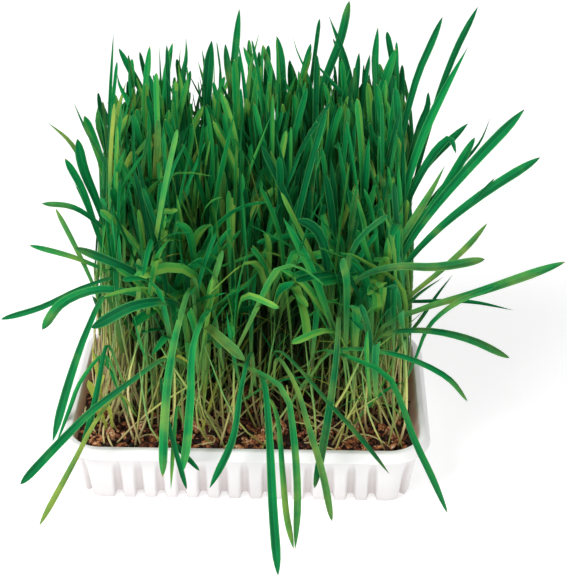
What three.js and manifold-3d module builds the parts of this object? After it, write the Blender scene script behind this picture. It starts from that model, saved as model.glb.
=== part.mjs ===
// Wheatgrass standing in a shallow fluted tray of growing medium.
// Millimetres, +Z up. The origin is the middle of the tray's underside, +X runs along the tray's length
// and -Y is the front, where the longest leaves hang out over the rim.
import * as THREE from "three";
import { mergeVertices } from "three/addons/utils/BufferGeometryUtils.js";
import Module from "manifold-3d";

const wasm = await Module();
wasm.setup();

// Driving dimensions of the tray.
const OPENING_LENGTH = 200;
const OPENING_WIDTH = 127;
const OPENING_CORNER = 19;
const TRAY_HEIGHT = 40;
const FLOOR_TOP = 3.4;
const WALL_TAPER = 5;
const CAVITY_TAPER = 10.2;
const SHEET = 1.1;
const LIP = 3;
const SKIRT_FLARE = 3.4;
const SKIRT_DROP = 5.2;
const CORNER_STEPS = 7;

// The flutes round the wall, and the feet that they leave between them. Each flute is deepest at its foot.
const FLUTE_PITCH = 12.2;
const FLUTES_LONG_SIDE = 13;
const FLUTES_SHORT_SIDE = 7;
const FLUTE_TOP = 30.5;
const FLUTE_MIDDLE = 22;
const FLUTE_DEPTH = 4;
const FLUTE_MIDDLE_DEPTH = 1.7;
const FLUTE_MOUTH = 5.4;
const FLUTE_FLOOR = 3.4;
const ARCH_HEIGHT = 1.9;
const FOOT_RING = 4.8;
const CHANNEL_WIDTH = 13;
const PANEL_CORNER_CUT = 8;
const CUT_CLEARANCE = 2;

// The layers in the tray, from the floor up.
const GAP = 0.3;
const BED_TOP = 20;
const MAT_THICKNESS = 3.4;
const COVER_TOP = 29;
const CHIP_RELIEF = 2.2;

// The plants, in rows along the tray.
const PLANT_COLUMNS = 10;
const PLANT_ROWS = 9;
const PLANT_SPAN_X = 178;
const PLANT_SPAN_Y = 106;
const PLANT_JITTER_X = 2.2;
const PLANT_JITTER_Y = 1.3;
const PLANT_EDGE_MARGIN = 6;
const HOLE = 4.6;
const COLLAR_HEIGHT = 37;
const SWARD_TOP = 214;
const OUTWARD_FLOW = 8;
const FRONT_DROP = 26;
const FRONT_PUSH = 16;
const SEED = 20240;
const CRUMB = 0.02;

// The outline of each sort of leaf, from its foot: [share of its length, width, depth of its keel].
const MAIN_LEAF = [[0, 2, 1.4], [0.55, 5, 0.9], [0.86, 5, 0.9]];
const SIDE_LEAF = [[0, 2, 1.1], [0.8, 5.6, 0.9]];
const DROOPING_LEAF = [[0, 2, 1.1], [0.45, 5.6, 0.9], [0.8, 5, 0.9]];
const LONG_LEAF = [[0, 2, 1.4], [0.25, 2, 1.2], [0.5, 5.6, 0.9], [0.7, 6.2, 0.9], [0.88, 4.2, 0.9]];

// Each long leaf: where its tip is, the height of its crest and roughly where it is rooted.
const LONG_LEAVES = [
  // The fan that leans out to the right, from the top down.
  { tip: [123, 20, 272], crest: 225, root: [86, 16] },
  { tip: [119, 10, 252], crest: 208, root: [88, 6] },
  { tip: [106, 30, 258], crest: 205, root: [72, 28] },
  { tip: [149, -10, 224], crest: 197, root: [88, -8] },
  { tip: [122, 12, 208], crest: 188, root: [88, 18] },
  { tip: [136, 22, 206], crest: 172, root: [86, 30] },
  { tip: [125, -2, 203], crest: 170, root: [88, 2] },
  { tip: [158, -12, 198], crest: 175, root: [88, -16] },
  { tip: [133, -24, 162], crest: 142, root: [88, -26] },
  { tip: [129, -50, 156], crest: 152, root: [72, -42] },
  { tip: [175, -32, 144], crest: 130, root: [86, -34] },
  { tip: [151, -20, 108], crest: 120, root: [88, -20] },
  { tip: [147, -42, 89], crest: 108, root: [86, -40] },
  { tip: [124, -62, 73], crest: 108, root: [58, -52] },
  { tip: [113, -100, 25], crest: 106, root: [70, -52] },
  // The tallest leaves at the back.
  { tip: [71, 42, 250], crest: 190, root: [66, 38] },
  { tip: [55, 50, 262], crest: 200, root: [50, 46] },
  { tip: [45, 46, 254], crest: 205, root: [58, 42] },
  { tip: [-6, 52, 258], crest: 195, root: [-10, 46] },
  { tip: [-18, 48, 240], crest: 190, root: [-24, 44] },
  // The leaves that hang over the front rim.
  { tip: [21, -130, 4], crest: 110, root: [14, -52] },
  { tip: [30, -112, 6], crest: 114, root: [28, -52] },
  { tip: [33, -104, 8], crest: 90, root: [10, -54] },
  { tip: [50, -96, 14], crest: 104, root: [24, -52] },
  { tip: [40, -86, 29], crest: 120, root: [52, -52] },
  { tip: [82, -88, 38], crest: 98, root: [30, -52] },
  { tip: [-44, -86, 34], crest: 138, root: [-28, -50] },
  { tip: [-34, -82, 34], crest: 126, root: [-20, -50] },
  { tip: [-40, -85, 24], crest: 88, root: [-38, -54] },
  { tip: [-26, -86, 30], crest: 80, root: [-46, -54] },
  { tip: [-16, -86, 28], crest: 106, root: [2, -52] },
  { tip: [2, -76, 106], crest: 128, root: [-26, -46] },
  // The leaves that reach out to the left.
  { tip: [-124, -88, 6], crest: 96, root: [-58, -50] },
  { tip: [-110, -100, 5], crest: 76, root: [-66, -54] },
  { tip: [-115, -40, 22], crest: 126, root: [-84, -32] },
  { tip: [-92, -78, 46], crest: 92, root: [-80, -50] },
  { tip: [-137, -42, 108], crest: 130, root: [-72, -42] },
  { tip: [-114, -44, 100], crest: 126, root: [-84, -42] },
  { tip: [-82, -62, 116], crest: 128, root: [-50, -50] },
  { tip: [-119, -20, 144], crest: 134, root: [-86, -20] },
  { tip: [-113, -10, 165], crest: 158, root: [-74, -12] },
  { tip: [-108, 2, 160], crest: 126, root: [-86, -2] },
  { tip: [-110, 12, 205], crest: 188, root: [-86, 12] },
  { tip: [-96, 24, 214], crest: 180, root: [-84, 24] },
];

// Colours and finishes.
const WHITE_PLASTIC = new THREE.MeshStandardMaterial({ color: 0xf4f2f0, roughness: 0.45, metalness: 0 });
const DARK_MEDIUM = new THREE.MeshStandardMaterial({ color: 0x3a2417, roughness: 0.95, metalness: 0 });
const BARK = new THREE.MeshStandardMaterial({ color: 0x6b3d22, roughness: 0.9, metalness: 0 });
const LEAF_GREEN = new THREE.MeshStandardMaterial({ color: 0x1d8a35, roughness: 0.5, metalness: 0 });

// A number from 0 to 1 each time it is called, the same run after run.
function randomSource(seed) {
  let state = seed;
  return () => {
    state = (state * 1664525 + 1013904223) % 4294967296;
    return state / 4294967296;
  };
}

function between(low, high, share) {
  return low + (high - low) * share;
}

// A closed surface whose shared vertices are merged, as a solid that can be cut and joined.
function solidOf(geometry) {
  geometry.deleteAttribute("normal");
  geometry.deleteAttribute("uv");
  const merged = mergeVertices(geometry, 1e-4);
  const surface = new wasm.Mesh({
    numProp: 3,
    vertProperties: new Float32Array(merged.attributes.position.array),
    triVerts: new Uint32Array(merged.index.array),
  });
  return new wasm.Manifold(surface);
}

function geometryOf(solid) {
  const surface = solid.getMesh();
  const geometry = new THREE.BufferGeometry();
  geometry.setAttribute("position", new THREE.BufferAttribute(surface.vertProperties, 3));
  geometry.setIndex(new THREE.BufferAttribute(surface.triVerts, 1));
  return geometry;
}

// The tray's outline, moved outwards by an offset: a rectangle with round corners, anticlockwise from above.
function outline(offset, z) {
  const radius = OPENING_CORNER + offset;
  const x = OPENING_LENGTH / 2 - OPENING_CORNER;
  const y = OPENING_WIDTH / 2 - OPENING_CORNER;
  const corners = [[x, y], [-x, y], [-x, -y], [x, -y]];
  return corners.flatMap(([cx, cy], quarter) =>
    Array.from({ length: CORNER_STEPS + 1 }, (_, step) => {
      const angle = (quarter + step / CORNER_STEPS) * (Math.PI / 2);
      return new THREE.Vector3(cx + radius * Math.cos(angle), cy + radius * Math.sin(angle), z);
    })
  );
}

// A closed body through rings of equally many points, with a flat cap on the first and the last.
function loft(rings) {
  const size = rings[0].length;
  const points = rings.flat();
  const index = [];
  for (let ring = 0; ring < rings.length - 1; ring++) {
    for (let i = 0; i < size; i++) {
      const a = ring * size + i;
      const b = ring * size + ((i + 1) % size);
      index.push(a, b, b + size, a, b + size, a + size);
    }
  }
  const last = (rings.length - 1) * size;
  for (let i = 1; i < size - 1; i++) {
    index.push(0, i + 1, i);
    index.push(last, last + i, last + i + 1);
  }
  const geometry = new THREE.BufferGeometry().setFromPoints(points);
  geometry.setIndex(index);
  return geometry;
}

// How far the cavity's wall is inside the opening's edge at a height.
function cavityOffset(z) {
  return (-CAVITY_TAPER * (TRAY_HEIGHT - z)) / (TRAY_HEIGHT - FLOOR_TOP);
}

// A level section through a flute's cutter: wide outside the wall, narrow at a depth behind its face.
// The cutter stands at the foot of the front wall and cuts towards +Y; the wall leans out over it.
function fluteSection(z, mouth, floor, depth) {
  const lean = (WALL_TAPER + SHEET) / (TRAY_HEIGHT - SHEET);
  const face = -lean * z;
  return [
    new THREE.Vector3(-mouth / 2, face - CUT_CLEARANCE, z),
    new THREE.Vector3(mouth / 2, face - CUT_CLEARANCE, z),
    new THREE.Vector3(floor / 2, face + depth, z),
    new THREE.Vector3(-floor / 2, face + depth, z),
  ];
}

// One flute's cutter, with the arch that it makes through the ring of feet.
function fluteCutter() {
  const groove = loft([
    fluteSection(-1, FLUTE_MOUTH, FLUTE_FLOOR, FLUTE_DEPTH),
    fluteSection(FLUTE_MIDDLE, FLUTE_MOUTH, FLUTE_FLOOR - 0.6, FLUTE_MIDDLE_DEPTH),
    fluteSection(FLUTE_TOP, FLUTE_MOUTH - 1.6, FLUTE_FLOOR - 1.4, -SHEET / 2),
  ]);
  const arch = loft([
    fluteSection(-1, FLUTE_MOUTH - 0.8, FLUTE_FLOOR + 0.6, FOOT_RING + CUT_CLEARANCE),
    fluteSection(ARCH_HEIGHT, FLUTE_FLOOR, FLUTE_FLOOR - 0.6, FOOT_RING + CUT_CLEARANCE),
  ]);
  return solidOf(groove).add(solidOf(arch));
}

// Where the flutes stand round the foot of the wall, as [x, y, turn about Z].
function flutePlaces() {
  const halfLength = OPENING_LENGTH / 2 - WALL_TAPER;
  const halfWidth = OPENING_WIDTH / 2 - WALL_TAPER;
  const places = [];
  for (let i = 0; i < FLUTES_LONG_SIDE; i++) {
    const x = (i - (FLUTES_LONG_SIDE - 1) / 2) * FLUTE_PITCH;
    places.push([x, -halfWidth, 0], [x, halfWidth, Math.PI]);
  }
  for (let i = 0; i < FLUTES_SHORT_SIDE; i++) {
    const y = (i - (FLUTES_SHORT_SIDE - 1) / 2) * FLUTE_PITCH;
    places.push([halfLength, y, Math.PI / 2], [-halfLength, y, -Math.PI / 2]);
  }
  const corner = (OPENING_CORNER - WALL_TAPER) * Math.SQRT1_2;
  const cornerX = OPENING_LENGTH / 2 - OPENING_CORNER + corner;
  const cornerY = OPENING_WIDTH / 2 - OPENING_CORNER + corner;
  for (let quarter = 0; quarter < 4; quarter++) {
    const right = quarter === 0 || quarter === 3 ? 1 : -1;
    const back = quarter < 2 ? 1 : -1;
    const turn = Math.atan2(back * Math.SQRT1_2, right * Math.SQRT1_2) + Math.PI / 2;
    places.push([right * cornerX, back * cornerY, turn]);
  }
  return places;
}

// The tray: a tapering wall under a flat lip with a flared skirt, fluted below, standing on its feet.
function trayGeometry() {
  const skirtFoot = TRAY_HEIGHT - SKIRT_DROP;
  const shell = loft([
    outline(-WALL_TAPER, 0),
    outline(SHEET, TRAY_HEIGHT - SHEET),
    outline(LIP - 0.5, TRAY_HEIGHT - SHEET),
    outline(LIP + SKIRT_FLARE - SHEET, skirtFoot),
    outline(LIP + SKIRT_FLARE, skirtFoot),
    outline(LIP + 0.6, TRAY_HEIGHT - 0.6),
    outline(LIP, TRAY_HEIGHT),
    outline(0, TRAY_HEIGHT),
    outline(-CAVITY_TAPER, FLOOR_TOP),
  ]);
  const cutter = fluteCutter();
  let tray = solidOf(shell);
  for (const [x, y, turn] of flutePlaces()) {
    tray = tray.subtract(cutter.rotate([0, 0, THREE.MathUtils.radToDeg(turn)]).translate([x, y, 0]));
  }
  return geometryOf(tray.subtract(undersideChannel()));
}

// The shallow channel in the underside, between the ring of feet and the panel that the tray rests on.
function undersideChannel() {
  const outer = -WALL_TAPER - FOOT_RING;
  const halfLength = OPENING_LENGTH / 2 + outer - CHANNEL_WIDTH;
  const halfWidth = OPENING_WIDTH / 2 + outer - CHANNEL_WIDTH;
  const below = -CUT_CLEARANCE;
  const above = ARCH_HEIGHT + CUT_CLEARANCE;
  const whole = loft([outline(outer, below / 2), outline(outer, ARCH_HEIGHT)]);
  const restPanel = loft([panel(halfLength, halfWidth, below), panel(halfLength, halfWidth, above)]);
  return solidOf(whole).subtract(solidOf(restPanel));
}

// A rectangle with cut corners, for the panel in the middle of the underside.
function panel(halfLength, halfWidth, z) {
  const cut = PANEL_CORNER_CUT;
  const right = [[halfLength, halfWidth - cut], [halfLength - cut, halfWidth]];
  const left = right.map(([x, y]) => [-x, y]).reverse();
  const back = [...right, ...left];
  const front = back.map(([x, y]) => [-x, -y]);
  return [...back, ...front].map(([x, y]) => new THREE.Vector3(x, y, z));
}

// The bed of growing medium that fills the lower half of the tray.
function bedGeometry() {
  const foot = FLOOR_TOP + GAP;
  return loft([outline(cavityOffset(foot) - 0.5, foot), outline(cavityOffset(BED_TOP) - 0.5, BED_TOP)]);
}

// Where the plants stand: rows with every second one moved along by half a pitch, and each plant a little off.
function plantGrid() {
  const random = randomSource(SEED);
  const grid = [];
  for (let row = 0; row < PLANT_ROWS; row++) {
    const stagger = row % 2 ? 0.25 : -0.25;
    const line = [];
    for (let column = 0; column < PLANT_COLUMNS; column++) {
      const x = ((column + stagger) / (PLANT_COLUMNS - 1) - 0.5) * PLANT_SPAN_X;
      const y = (row / (PLANT_ROWS - 1) - 0.5) * PLANT_SPAN_Y;
      const jitterX = between(-PLANT_JITTER_X, PLANT_JITTER_X, random());
      const jitterY = between(-PLANT_JITTER_Y, PLANT_JITTER_Y, random());
      line.push(insideCover(x + jitterX, y + jitterY, PLANT_EDGE_MARGIN));
    }
    grid.push(line);
  }
  return grid;
}

// A point drawn in, if need be, until it is this far inside the cover's edge.
function insideCover(x, y, margin) {
  const offset = cavityOffset(BED_TOP + MAT_THICKNESS) - 0.5;
  const halfLength = OPENING_LENGTH / 2 + offset - margin;
  const halfWidth = OPENING_WIDTH / 2 + offset - margin;
  const radius = Math.max(OPENING_CORNER + offset - margin, 0);
  let px = THREE.MathUtils.clamp(x, -halfLength, halfLength);
  let py = THREE.MathUtils.clamp(y, -halfWidth, halfWidth);
  const dx = Math.abs(px) - (halfLength - radius);
  const dy = Math.abs(py) - (halfWidth - radius);
  const reach = Math.hypot(dx, dy);
  if (dx > 0 && dy > 0 && reach > radius) {
    px = Math.sign(px) * (halfLength - radius + (dx * radius) / reach);
    py = Math.sign(py) * (halfWidth - radius + (dy * radius) / reach);
  }
  return new THREE.Vector2(px, py);
}

// The cover of bark chips: a rough sheet with a plain square hole for each plant.
// Its grid has two lines round each hole, so that a hole is one cell of the grid.
function coverGeometry(grid) {
  const random = randomSource(SEED + 1);
  const foot = BED_TOP + 2 * GAP + MAT_THICKNESS;
  const columns = 2 * PLANT_COLUMNS + 2;
  const rows = 2 * PLANT_ROWS + 2;
  const top = [];
  const bottom = [];
  for (let r = 0; r < rows; r++) {
    for (let c = 0; c < columns; c++) {
      const onEdge = r === 0 || c === 0 || r === rows - 1 || c === columns - 1;
      const relief = onEdge ? -CHIP_RELIEF / 2 : between(-CHIP_RELIEF, CHIP_RELIEF, random());
      const place = coverPoint(grid, c, r, columns, rows);
      top.push(new THREE.Vector3(place.x, place.y, COVER_TOP + relief));
      bottom.push(new THREE.Vector3(place.x, place.y, foot));
    }
  }
  const geometry = new THREE.BufferGeometry().setFromPoints([...top, ...bottom]);
  geometry.setIndex(coverFaces(columns, rows));
  return geometry;
}

// A grid point of the cover: beside the plant that it belongs to, or out on the edge.
function coverPoint(grid, c, r, columns, rows) {
  const column = THREE.MathUtils.clamp(Math.ceil(c / 2) - 1, 0, PLANT_COLUMNS - 1);
  const row = THREE.MathUtils.clamp(Math.ceil(r / 2) - 1, 0, PLANT_ROWS - 1);
  const plant = grid[row][column];
  const sideX = c % 2 === 1 ? -HOLE / 2 : HOLE / 2;
  const sideY = r % 2 === 1 ? -HOLE / 2 : HOLE / 2;
  const outside = OPENING_LENGTH;
  const x = c === 0 ? -outside : c === columns - 1 ? outside : plant.x + sideX;
  const y = r === 0 ? -outside : r === rows - 1 ? outside : plant.y + sideY;
  return insideCover(x, y, 0);
}

// The cover's faces: the top and the underside of each cell, or the four walls of a hole, and the rim.
// The underside's points follow the top's, in the same order.
function coverFaces(columns, rows) {
  const size = rows * columns;
  const index = [];
  const quad = (a, b, c, d) => index.push(a, b, c, a, c, d);
  const wall = (a, b) => quad(a, b, b + size, a + size);
  for (let r = 0; r < rows - 1; r++) {
    for (let c = 0; c < columns - 1; c++) {
      const a = r * columns + c;
      const b = a + 1;
      const d = a + columns;
      const e = d + 1;
      if (r % 2 === 1 && c % 2 === 1) {
        wall(a, b);
        wall(b, e);
        wall(e, d);
        wall(d, a);
      } else {
        quad(a, b, e, d);
        quad(a + size, d + size, e + size, b + size);
      }
    }
  }
  for (let c = 0; c < columns - 1; c++) {
    wall(c + 1, c);
    wall(size - columns + c, size - columns + c + 1);
  }
  for (let r = 0; r < rows - 1; r++) {
    wall(r * columns, (r + 1) * columns);
    wall((r + 2) * columns - 1, (r + 1) * columns - 1);
  }
  return index;
}

// A leaf: a three-sided body along a curve, flat on its upper side and keeled below, ending in a point.
function leafSolid(curve, side, stations) {
  const points = [];
  const index = [];
  stations.forEach(([share, width, keel], ring) => {
    const place = curve.getPoint(share);
    const upward = new THREE.Vector3().crossVectors(curve.getTangent(share), side).normalize();
    points.push(place.clone().addScaledVector(side, -width / 2));
    points.push(place.clone().addScaledVector(upward, -keel));
    points.push(place.clone().addScaledVector(side, width / 2));
    const a = 3 * (ring - 1);
    if (ring > 0) {
      for (const [p, q] of [[0, 1], [1, 2], [2, 0]]) {
        index.push(a + p, a + q, a + q + 3, a + p, a + q + 3, a + p + 3);
      }
    }
  });
  const last = 3 * (stations.length - 1);
  const tip = points.length;
  points.push(curve.getPoint(1));
  index.push(0, 2, 1, last, last + 1, tip, last + 1, last + 2, tip, last + 2, last, tip);
  const geometry = new THREE.BufferGeometry().setFromPoints(points);
  geometry.setIndex(index);
  return solidOf(geometry);
}

// A leaf's curve from its foot to its tip, over a crest at 60 per cent of the way out.
function leafCurve(foot, tip, crest) {
  const shoulder = foot.clone().lerp(tip, 0.2);
  shoulder.z = between(foot.z, crest, 0.7);
  const top = foot.clone().lerp(tip, 0.6);
  top.z = crest;
  return new THREE.CatmullRomCurve3([foot, shoulder, top, tip]);
}

// The same for a leaf that first has to rise straight up through its hole in the cover.
function rootedCurve(foot, tip, crest) {
  const collar = foot.clone().setZ(COLLAR_HEIGHT);
  return new THREE.CatmullRomCurve3([foot, ...leafCurve(collar, tip, crest).points]);
}

// Where a plant at a place on the bed starts: sunk half way into the root mat.
function rootPoint(place) {
  return new THREE.Vector3(place.x, place.y, BED_TOP + GAP + MAT_THICKNESS / 2);
}

// The level direction across a leaf that heads from its foot to its tip.
function acrossLeaf(foot, tip, turn) {
  const heading = Math.atan2(tip.y - foot.y, tip.x - foot.x) + Math.PI / 2 + turn;
  return new THREE.Vector3(Math.cos(heading), Math.sin(heading), 0);
}

// How strongly the plants at a point lean over the front rim, from 0 to 1.
function frontLean(x, y) {
  const nearFront = THREE.MathUtils.smoothstep(-y, 18, 50);
  const pastLeft = THREE.MathUtils.smoothstep(x, -60, -20);
  return nearFront * between(0.35, 1, pastLeft);
}

// One plant: a main leaf that rises from the root mat, and a side leaf that leaves its sheath part way up.
function plantLeaves(place, random) {
  const foot = rootPoint(place);
  const lean = frontLean(place.x, place.y);
  const flowX = OUTWARD_FLOW * (place.x / (PLANT_SPAN_X / 2)) ** 3;
  const flowY = OUTWARD_FLOW * Math.max(place.y / (PLANT_SPAN_Y / 2), 0) ** 3;
  const tip = new THREE.Vector3(
    place.x + flowX + between(-9, 9, random()),
    place.y + flowY - FRONT_PUSH * lean + between(-6, 6, random()),
    SWARD_TOP - FRONT_DROP * lean + between(-24, 16, random())
  );
  const main = rootedCurve(foot, tip, between(foot.z, tip.z, 0.7));
  const side = acrossLeaf(foot, tip, between(-0.6, 0.6, random()));
  const start = main.getPoint(between(0.16, 0.3, random()));
  const flow = new THREE.Vector3(flowX, flowY - (FRONT_PUSH / 2) * lean, 0);
  const droops = random() < 0.75 * lean;
  const branch = droops ? droopingLeaf(start, flow, random) : sideLeaf(start, flow, lean, random);
  return [leafSolid(main, side, MAIN_LEAF), branch];
}

// A side leaf that stands up beside the main one, on any side of it.
function sideLeaf(start, flow, lean, random) {
  const heading = between(-Math.PI, Math.PI, random());
  const reach = between(12, 24, random());
  const height = between(150, 205, random()) - 20 * lean;
  const tip = new THREE.Vector3(reach * Math.cos(heading), reach * Math.sin(heading), 0);
  tip.add(start).add(flow).setZ(height);
  const crest = between(start.z, height, 0.66);
  return leafSolid(leafCurve(start, tip, crest), acrossLeaf(start, tip, 0), SIDE_LEAF);
}

// A side leaf that has bent over towards the front.
function droopingLeaf(start, flow, random) {
  const heading = between(-2.5, -0.6, random());
  const reach = between(26, 58, random());
  const height = between(96, 140, random());
  const tip = new THREE.Vector3(reach * Math.cos(heading), reach * Math.sin(heading), 0);
  tip.add(start).add(flow).setZ(height);
  const crest = height + between(6, 26, random());
  return leafSolid(leafCurve(start, tip, crest), acrossLeaf(start, tip, 0), DROOPING_LEAF);
}

// A long leaf grows in the same hole as the plant nearest to its root.
function longLeaf(leaf, grid) {
  const wanted = new THREE.Vector2(...leaf.root);
  const nearest = grid.flat().reduce((a, b) => (b.distanceTo(wanted) < a.distanceTo(wanted) ? b : a));
  const foot = rootPoint(nearest);
  const tip = new THREE.Vector3(...leaf.tip);
  return leafSolid(rootedCurve(foot, tip, leaf.crest), acrossLeaf(foot, tip, 0), LONG_LEAF);
}

// All the plants, joined by the mat that their roots knit into.
function grassGeometry(grid) {
  const random = randomSource(SEED + 2);
  const foot = BED_TOP + GAP;
  const offset = cavityOffset(foot) - 2 * GAP;
  let grass = solidOf(loft([outline(offset, foot), outline(offset, foot + MAT_THICKNESS)]));
  for (const place of grid.flat()) {
    for (const leaf of plantLeaves(place, random)) {
      grass = grass.add(leaf);
    }
  }
  for (const leaf of LONG_LEAVES) {
    grass = grass.add(longLeaf(leaf, grid));
  }
  return geometryOf(largestBody(grass).simplify(CRUMB));
}

// The joined body, without any crumb that the joining left beside it or closed in inside it.
function largestBody(solid) {
  return solid.decompose().reduce((a, b) => (b.volume() > a.volume() ? b : a));
}

function piece(name, geometry, material) {
  const mesh = new THREE.Mesh(geometry, material);
  mesh.name = name;
  return mesh;
}

const grid = plantGrid();
const wheatgrassTray = new THREE.Group();
wheatgrassTray.add(
  piece("tray", trayGeometry(), WHITE_PLASTIC),
  piece("growing_medium", bedGeometry(), DARK_MEDIUM),
  piece("bark_cover", coverGeometry(grid), BARK),
  piece("wheatgrass", grassGeometry(grid), LEAF_GREEN)
);

export default wheatgrassTray;
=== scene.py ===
# %% [markdown]
# # A tray of wheatgrass
#
# This lesson dresses a plain solid model of a wheatgrass tray: a shallow white plastic tray with a fluted
# wall, a bed of bark chips, and a dense stand of young wheat whose outer leaves arch over the rim.
# The solid model, which we call the frame, says how big everything is. Here we make the pieces that the eye
# sees, at the same size, and give each of them a material made from nodes alone.
#
# Everything is in metres, +Z is up, +X runs along the tray and -Y is the front.

import math
import random

import bpy
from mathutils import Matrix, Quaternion, Vector, noise


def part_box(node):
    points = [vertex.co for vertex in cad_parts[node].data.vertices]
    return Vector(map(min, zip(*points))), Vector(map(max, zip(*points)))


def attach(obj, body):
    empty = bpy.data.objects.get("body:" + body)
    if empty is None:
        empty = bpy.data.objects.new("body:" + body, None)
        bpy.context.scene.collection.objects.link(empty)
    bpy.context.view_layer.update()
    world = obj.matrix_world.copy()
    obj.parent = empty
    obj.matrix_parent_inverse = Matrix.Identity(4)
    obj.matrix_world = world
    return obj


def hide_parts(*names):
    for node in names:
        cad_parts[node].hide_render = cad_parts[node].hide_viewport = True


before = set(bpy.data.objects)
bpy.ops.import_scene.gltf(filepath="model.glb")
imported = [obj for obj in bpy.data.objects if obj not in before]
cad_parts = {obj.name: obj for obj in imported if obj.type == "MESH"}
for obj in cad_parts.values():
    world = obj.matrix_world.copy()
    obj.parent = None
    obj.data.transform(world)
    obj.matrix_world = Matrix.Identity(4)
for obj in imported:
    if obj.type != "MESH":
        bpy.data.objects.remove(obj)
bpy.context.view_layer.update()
MM = 0.001

# %% [markdown]
# The tray's main sizes come from the frame's tray, whose box we can ask for. Only the few that a box can't
# tell, such as the width of the rim and the pitch of the flutes, are written here as real sizes.

# %% Sizes of the tray
tray_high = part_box("tray")[1]
RIM_WIDTH = 6.4 * MM
TRAY_TOP = tray_high.z
OPENING_X = tray_high.x - RIM_WIDTH
OPENING_Y = tray_high.y - RIM_WIDTH
OPENING_CORNER = 19 * MM
WALL_TAPER = 5 * MM
CAVITY_TAPER = 10.2 * MM
FLOOR_TOP = 3.4 * MM
FLUTE_PITCH = 12.2 * MM
FLUTE_TOP = 30 * MM
FLUTE_DEPTH = 4 * MM
SOIL_TOP = 29 * MM
print("opening", round(2 * OPENING_X, 4), "by", round(2 * OPENING_Y, 4), "m")

# %% [markdown]
# ## Helpers for node trees
#
# Shader maths is much easier to read as a sum than as a chain of nodes. A small class wraps a socket and
# overloads the operators, so that `1 - mask * 0.5` adds two Math nodes. All other nodes come from one method
# that takes the node's type, its settings and what goes into its sockets. The same two helpers serve the
# geometry trees further down.

# %% A socket that can be added and multiplied
class Wire:
    """One output socket of a node tree."""

    def __init__(self, net, socket):
        self.net = net
        self.socket = socket

    def maths(self, operation, first, second):
        return self.net.node("ShaderNodeMath", {0: first, 1: second}, operation=operation)

    def __add__(self, other):
        return self.maths("ADD", self, other)

    __radd__ = __add__

    def __sub__(self, other):
        return self.maths("SUBTRACT", self, other)

    def __rsub__(self, other):
        return self.maths("SUBTRACT", other, self)

    def __mul__(self, other):
        return self.maths("MULTIPLY", self, other)

    __rmul__ = __mul__

    def __abs__(self):
        return self.maths("ABSOLUTE", self, 0.0)

    def __gt__(self, other):
        return self.maths("GREATER_THAN", self, other)

    def sine(self):
        return self.maths("SINE", self, 0.0)

# %% A node tree that is filled by one method
class Net:
    """A shader or geometry tree under construction."""

    def __init__(self, tree):
        self.tree = tree

    def node(self, kind, sockets=None, output=0, **settings):
        made = self.tree.nodes.new(kind)
        stops = settings.pop("stops", None)
        for name, value in settings.items():
            setattr(made, name, value)
        if stops:
            self.set_stops(made.color_ramp, stops)
        for name, value in (sockets or {}).items():
            if isinstance(value, Wire):
                self.tree.links.new(value.socket, made.inputs[name])
            else:
                made.inputs[name].default_value = value
        return Wire(self, made.outputs[output]) if made.outputs else made

    def set_stops(self, ramp, stops):
        while len(ramp.elements) < len(stops):
            ramp.elements.new(1.0)
        for element, (place, colour) in zip(ramp.elements, stops):
            element.position = place
            element.color = (*colour, 1.0)

    def attribute(self, name):
        return self.node("ShaderNodeAttribute", output="Fac", attribute_name=name)

    def smooth(self, value, start, end):
        """0 before start, 1 after end, and a smooth step between."""
        sockets = {"Value": value, "From Min": start, "From Max": end}
        return self.node("ShaderNodeMapRange", sockets, interpolation_type="SMOOTHSTEP")

    def blend(self, share, first, second):
        """A mix of two colours, each a Wire or (red, green, blue)."""
        pair = [c if isinstance(c, Wire) else (*c, 1.0) for c in (first, second)]
        sockets = {0: share, 6: pair[0], 7: pair[1]}
        return self.node("ShaderNodeMix", sockets, output=2, data_type="RGBA")

# %% [markdown]
# A material starts from the same few nodes each time, so one helper makes it, hands over its net and its
# Principled shader, and another reads places on the object. The places are Object coordinates: every
# finished piece has its object at the origin, so they are metres in the frame.

# %% Material helpers
def new_material(name, roughness, ior=1.45):
    """An empty material, its net and its Principled shader."""
    material = bpy.data.materials.new(name)
    material.use_nodes = True
    net = Net(material.node_tree)
    shader = material.node_tree.nodes["Principled BSDF"]
    shader.inputs["Roughness"].default_value = roughness
    shader.inputs["IOR"].default_value = ior
    return material, net, shader


def connect(wire, node, socket):
    wire.net.tree.links.new(wire.socket, node.inputs[socket])


def place_on_object(net):
    return net.node("ShaderNodeTexCoord", output="Object")


def axis_of(vector, axis):
    """One number of a vector: 0 is x, 1 is y and 2 is z."""
    return vector.net.node("ShaderNodeSeparateXYZ", {0: vector}, output=axis)


def fine_noise(place, scale, detail=3.0):
    sockets = {"Vector": place, "Scale": scale, "Detail": detail}
    return place.net.node("ShaderNodeTexNoise", sockets, output="Fac")


def bump(height, strength, distance):
    sockets = {"Height": height, "Strength": strength, "Distance": distance}
    return height.net.node("ShaderNodeBump", sockets)

# %% [markdown]
# ## The tray
#
# The real tray is moulded in one piece from thin white plastic. Its wall leans outwards and is pressed into
# flutes that deepen towards the foot; what stays between them stands on the table as rounded feet.
#
# We could cut the flutes out of a block, but their soft scooped ends would be hard to get that way. Since
# every point of the tray follows from where it is round the outline and how far along the section, we build
# it as one grid: columns round the outline, rows along the section, and a formula for how far a flute pushes
# each point in. The columns stand on a smaller rectangle, the core, and reach out from it, so that they fan
# out at the round corners.

# %% The outline as columns
CORE_X = OPENING_X - OPENING_CORNER
CORE_Y = OPENING_Y - OPENING_CORNER
COLUMN_STEP = 0.75 * MM
CORNER_COLUMNS = 26
QUARTER_TURN = math.pi / 2


def straight_columns(start, end, outward):
    """Columns along one straight side of the core, from start to end."""
    steps = round((end - start).length / COLUMN_STEP)
    return [(start.lerp(end, (i + 0.5) / steps), outward) for i in range(steps)]


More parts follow.
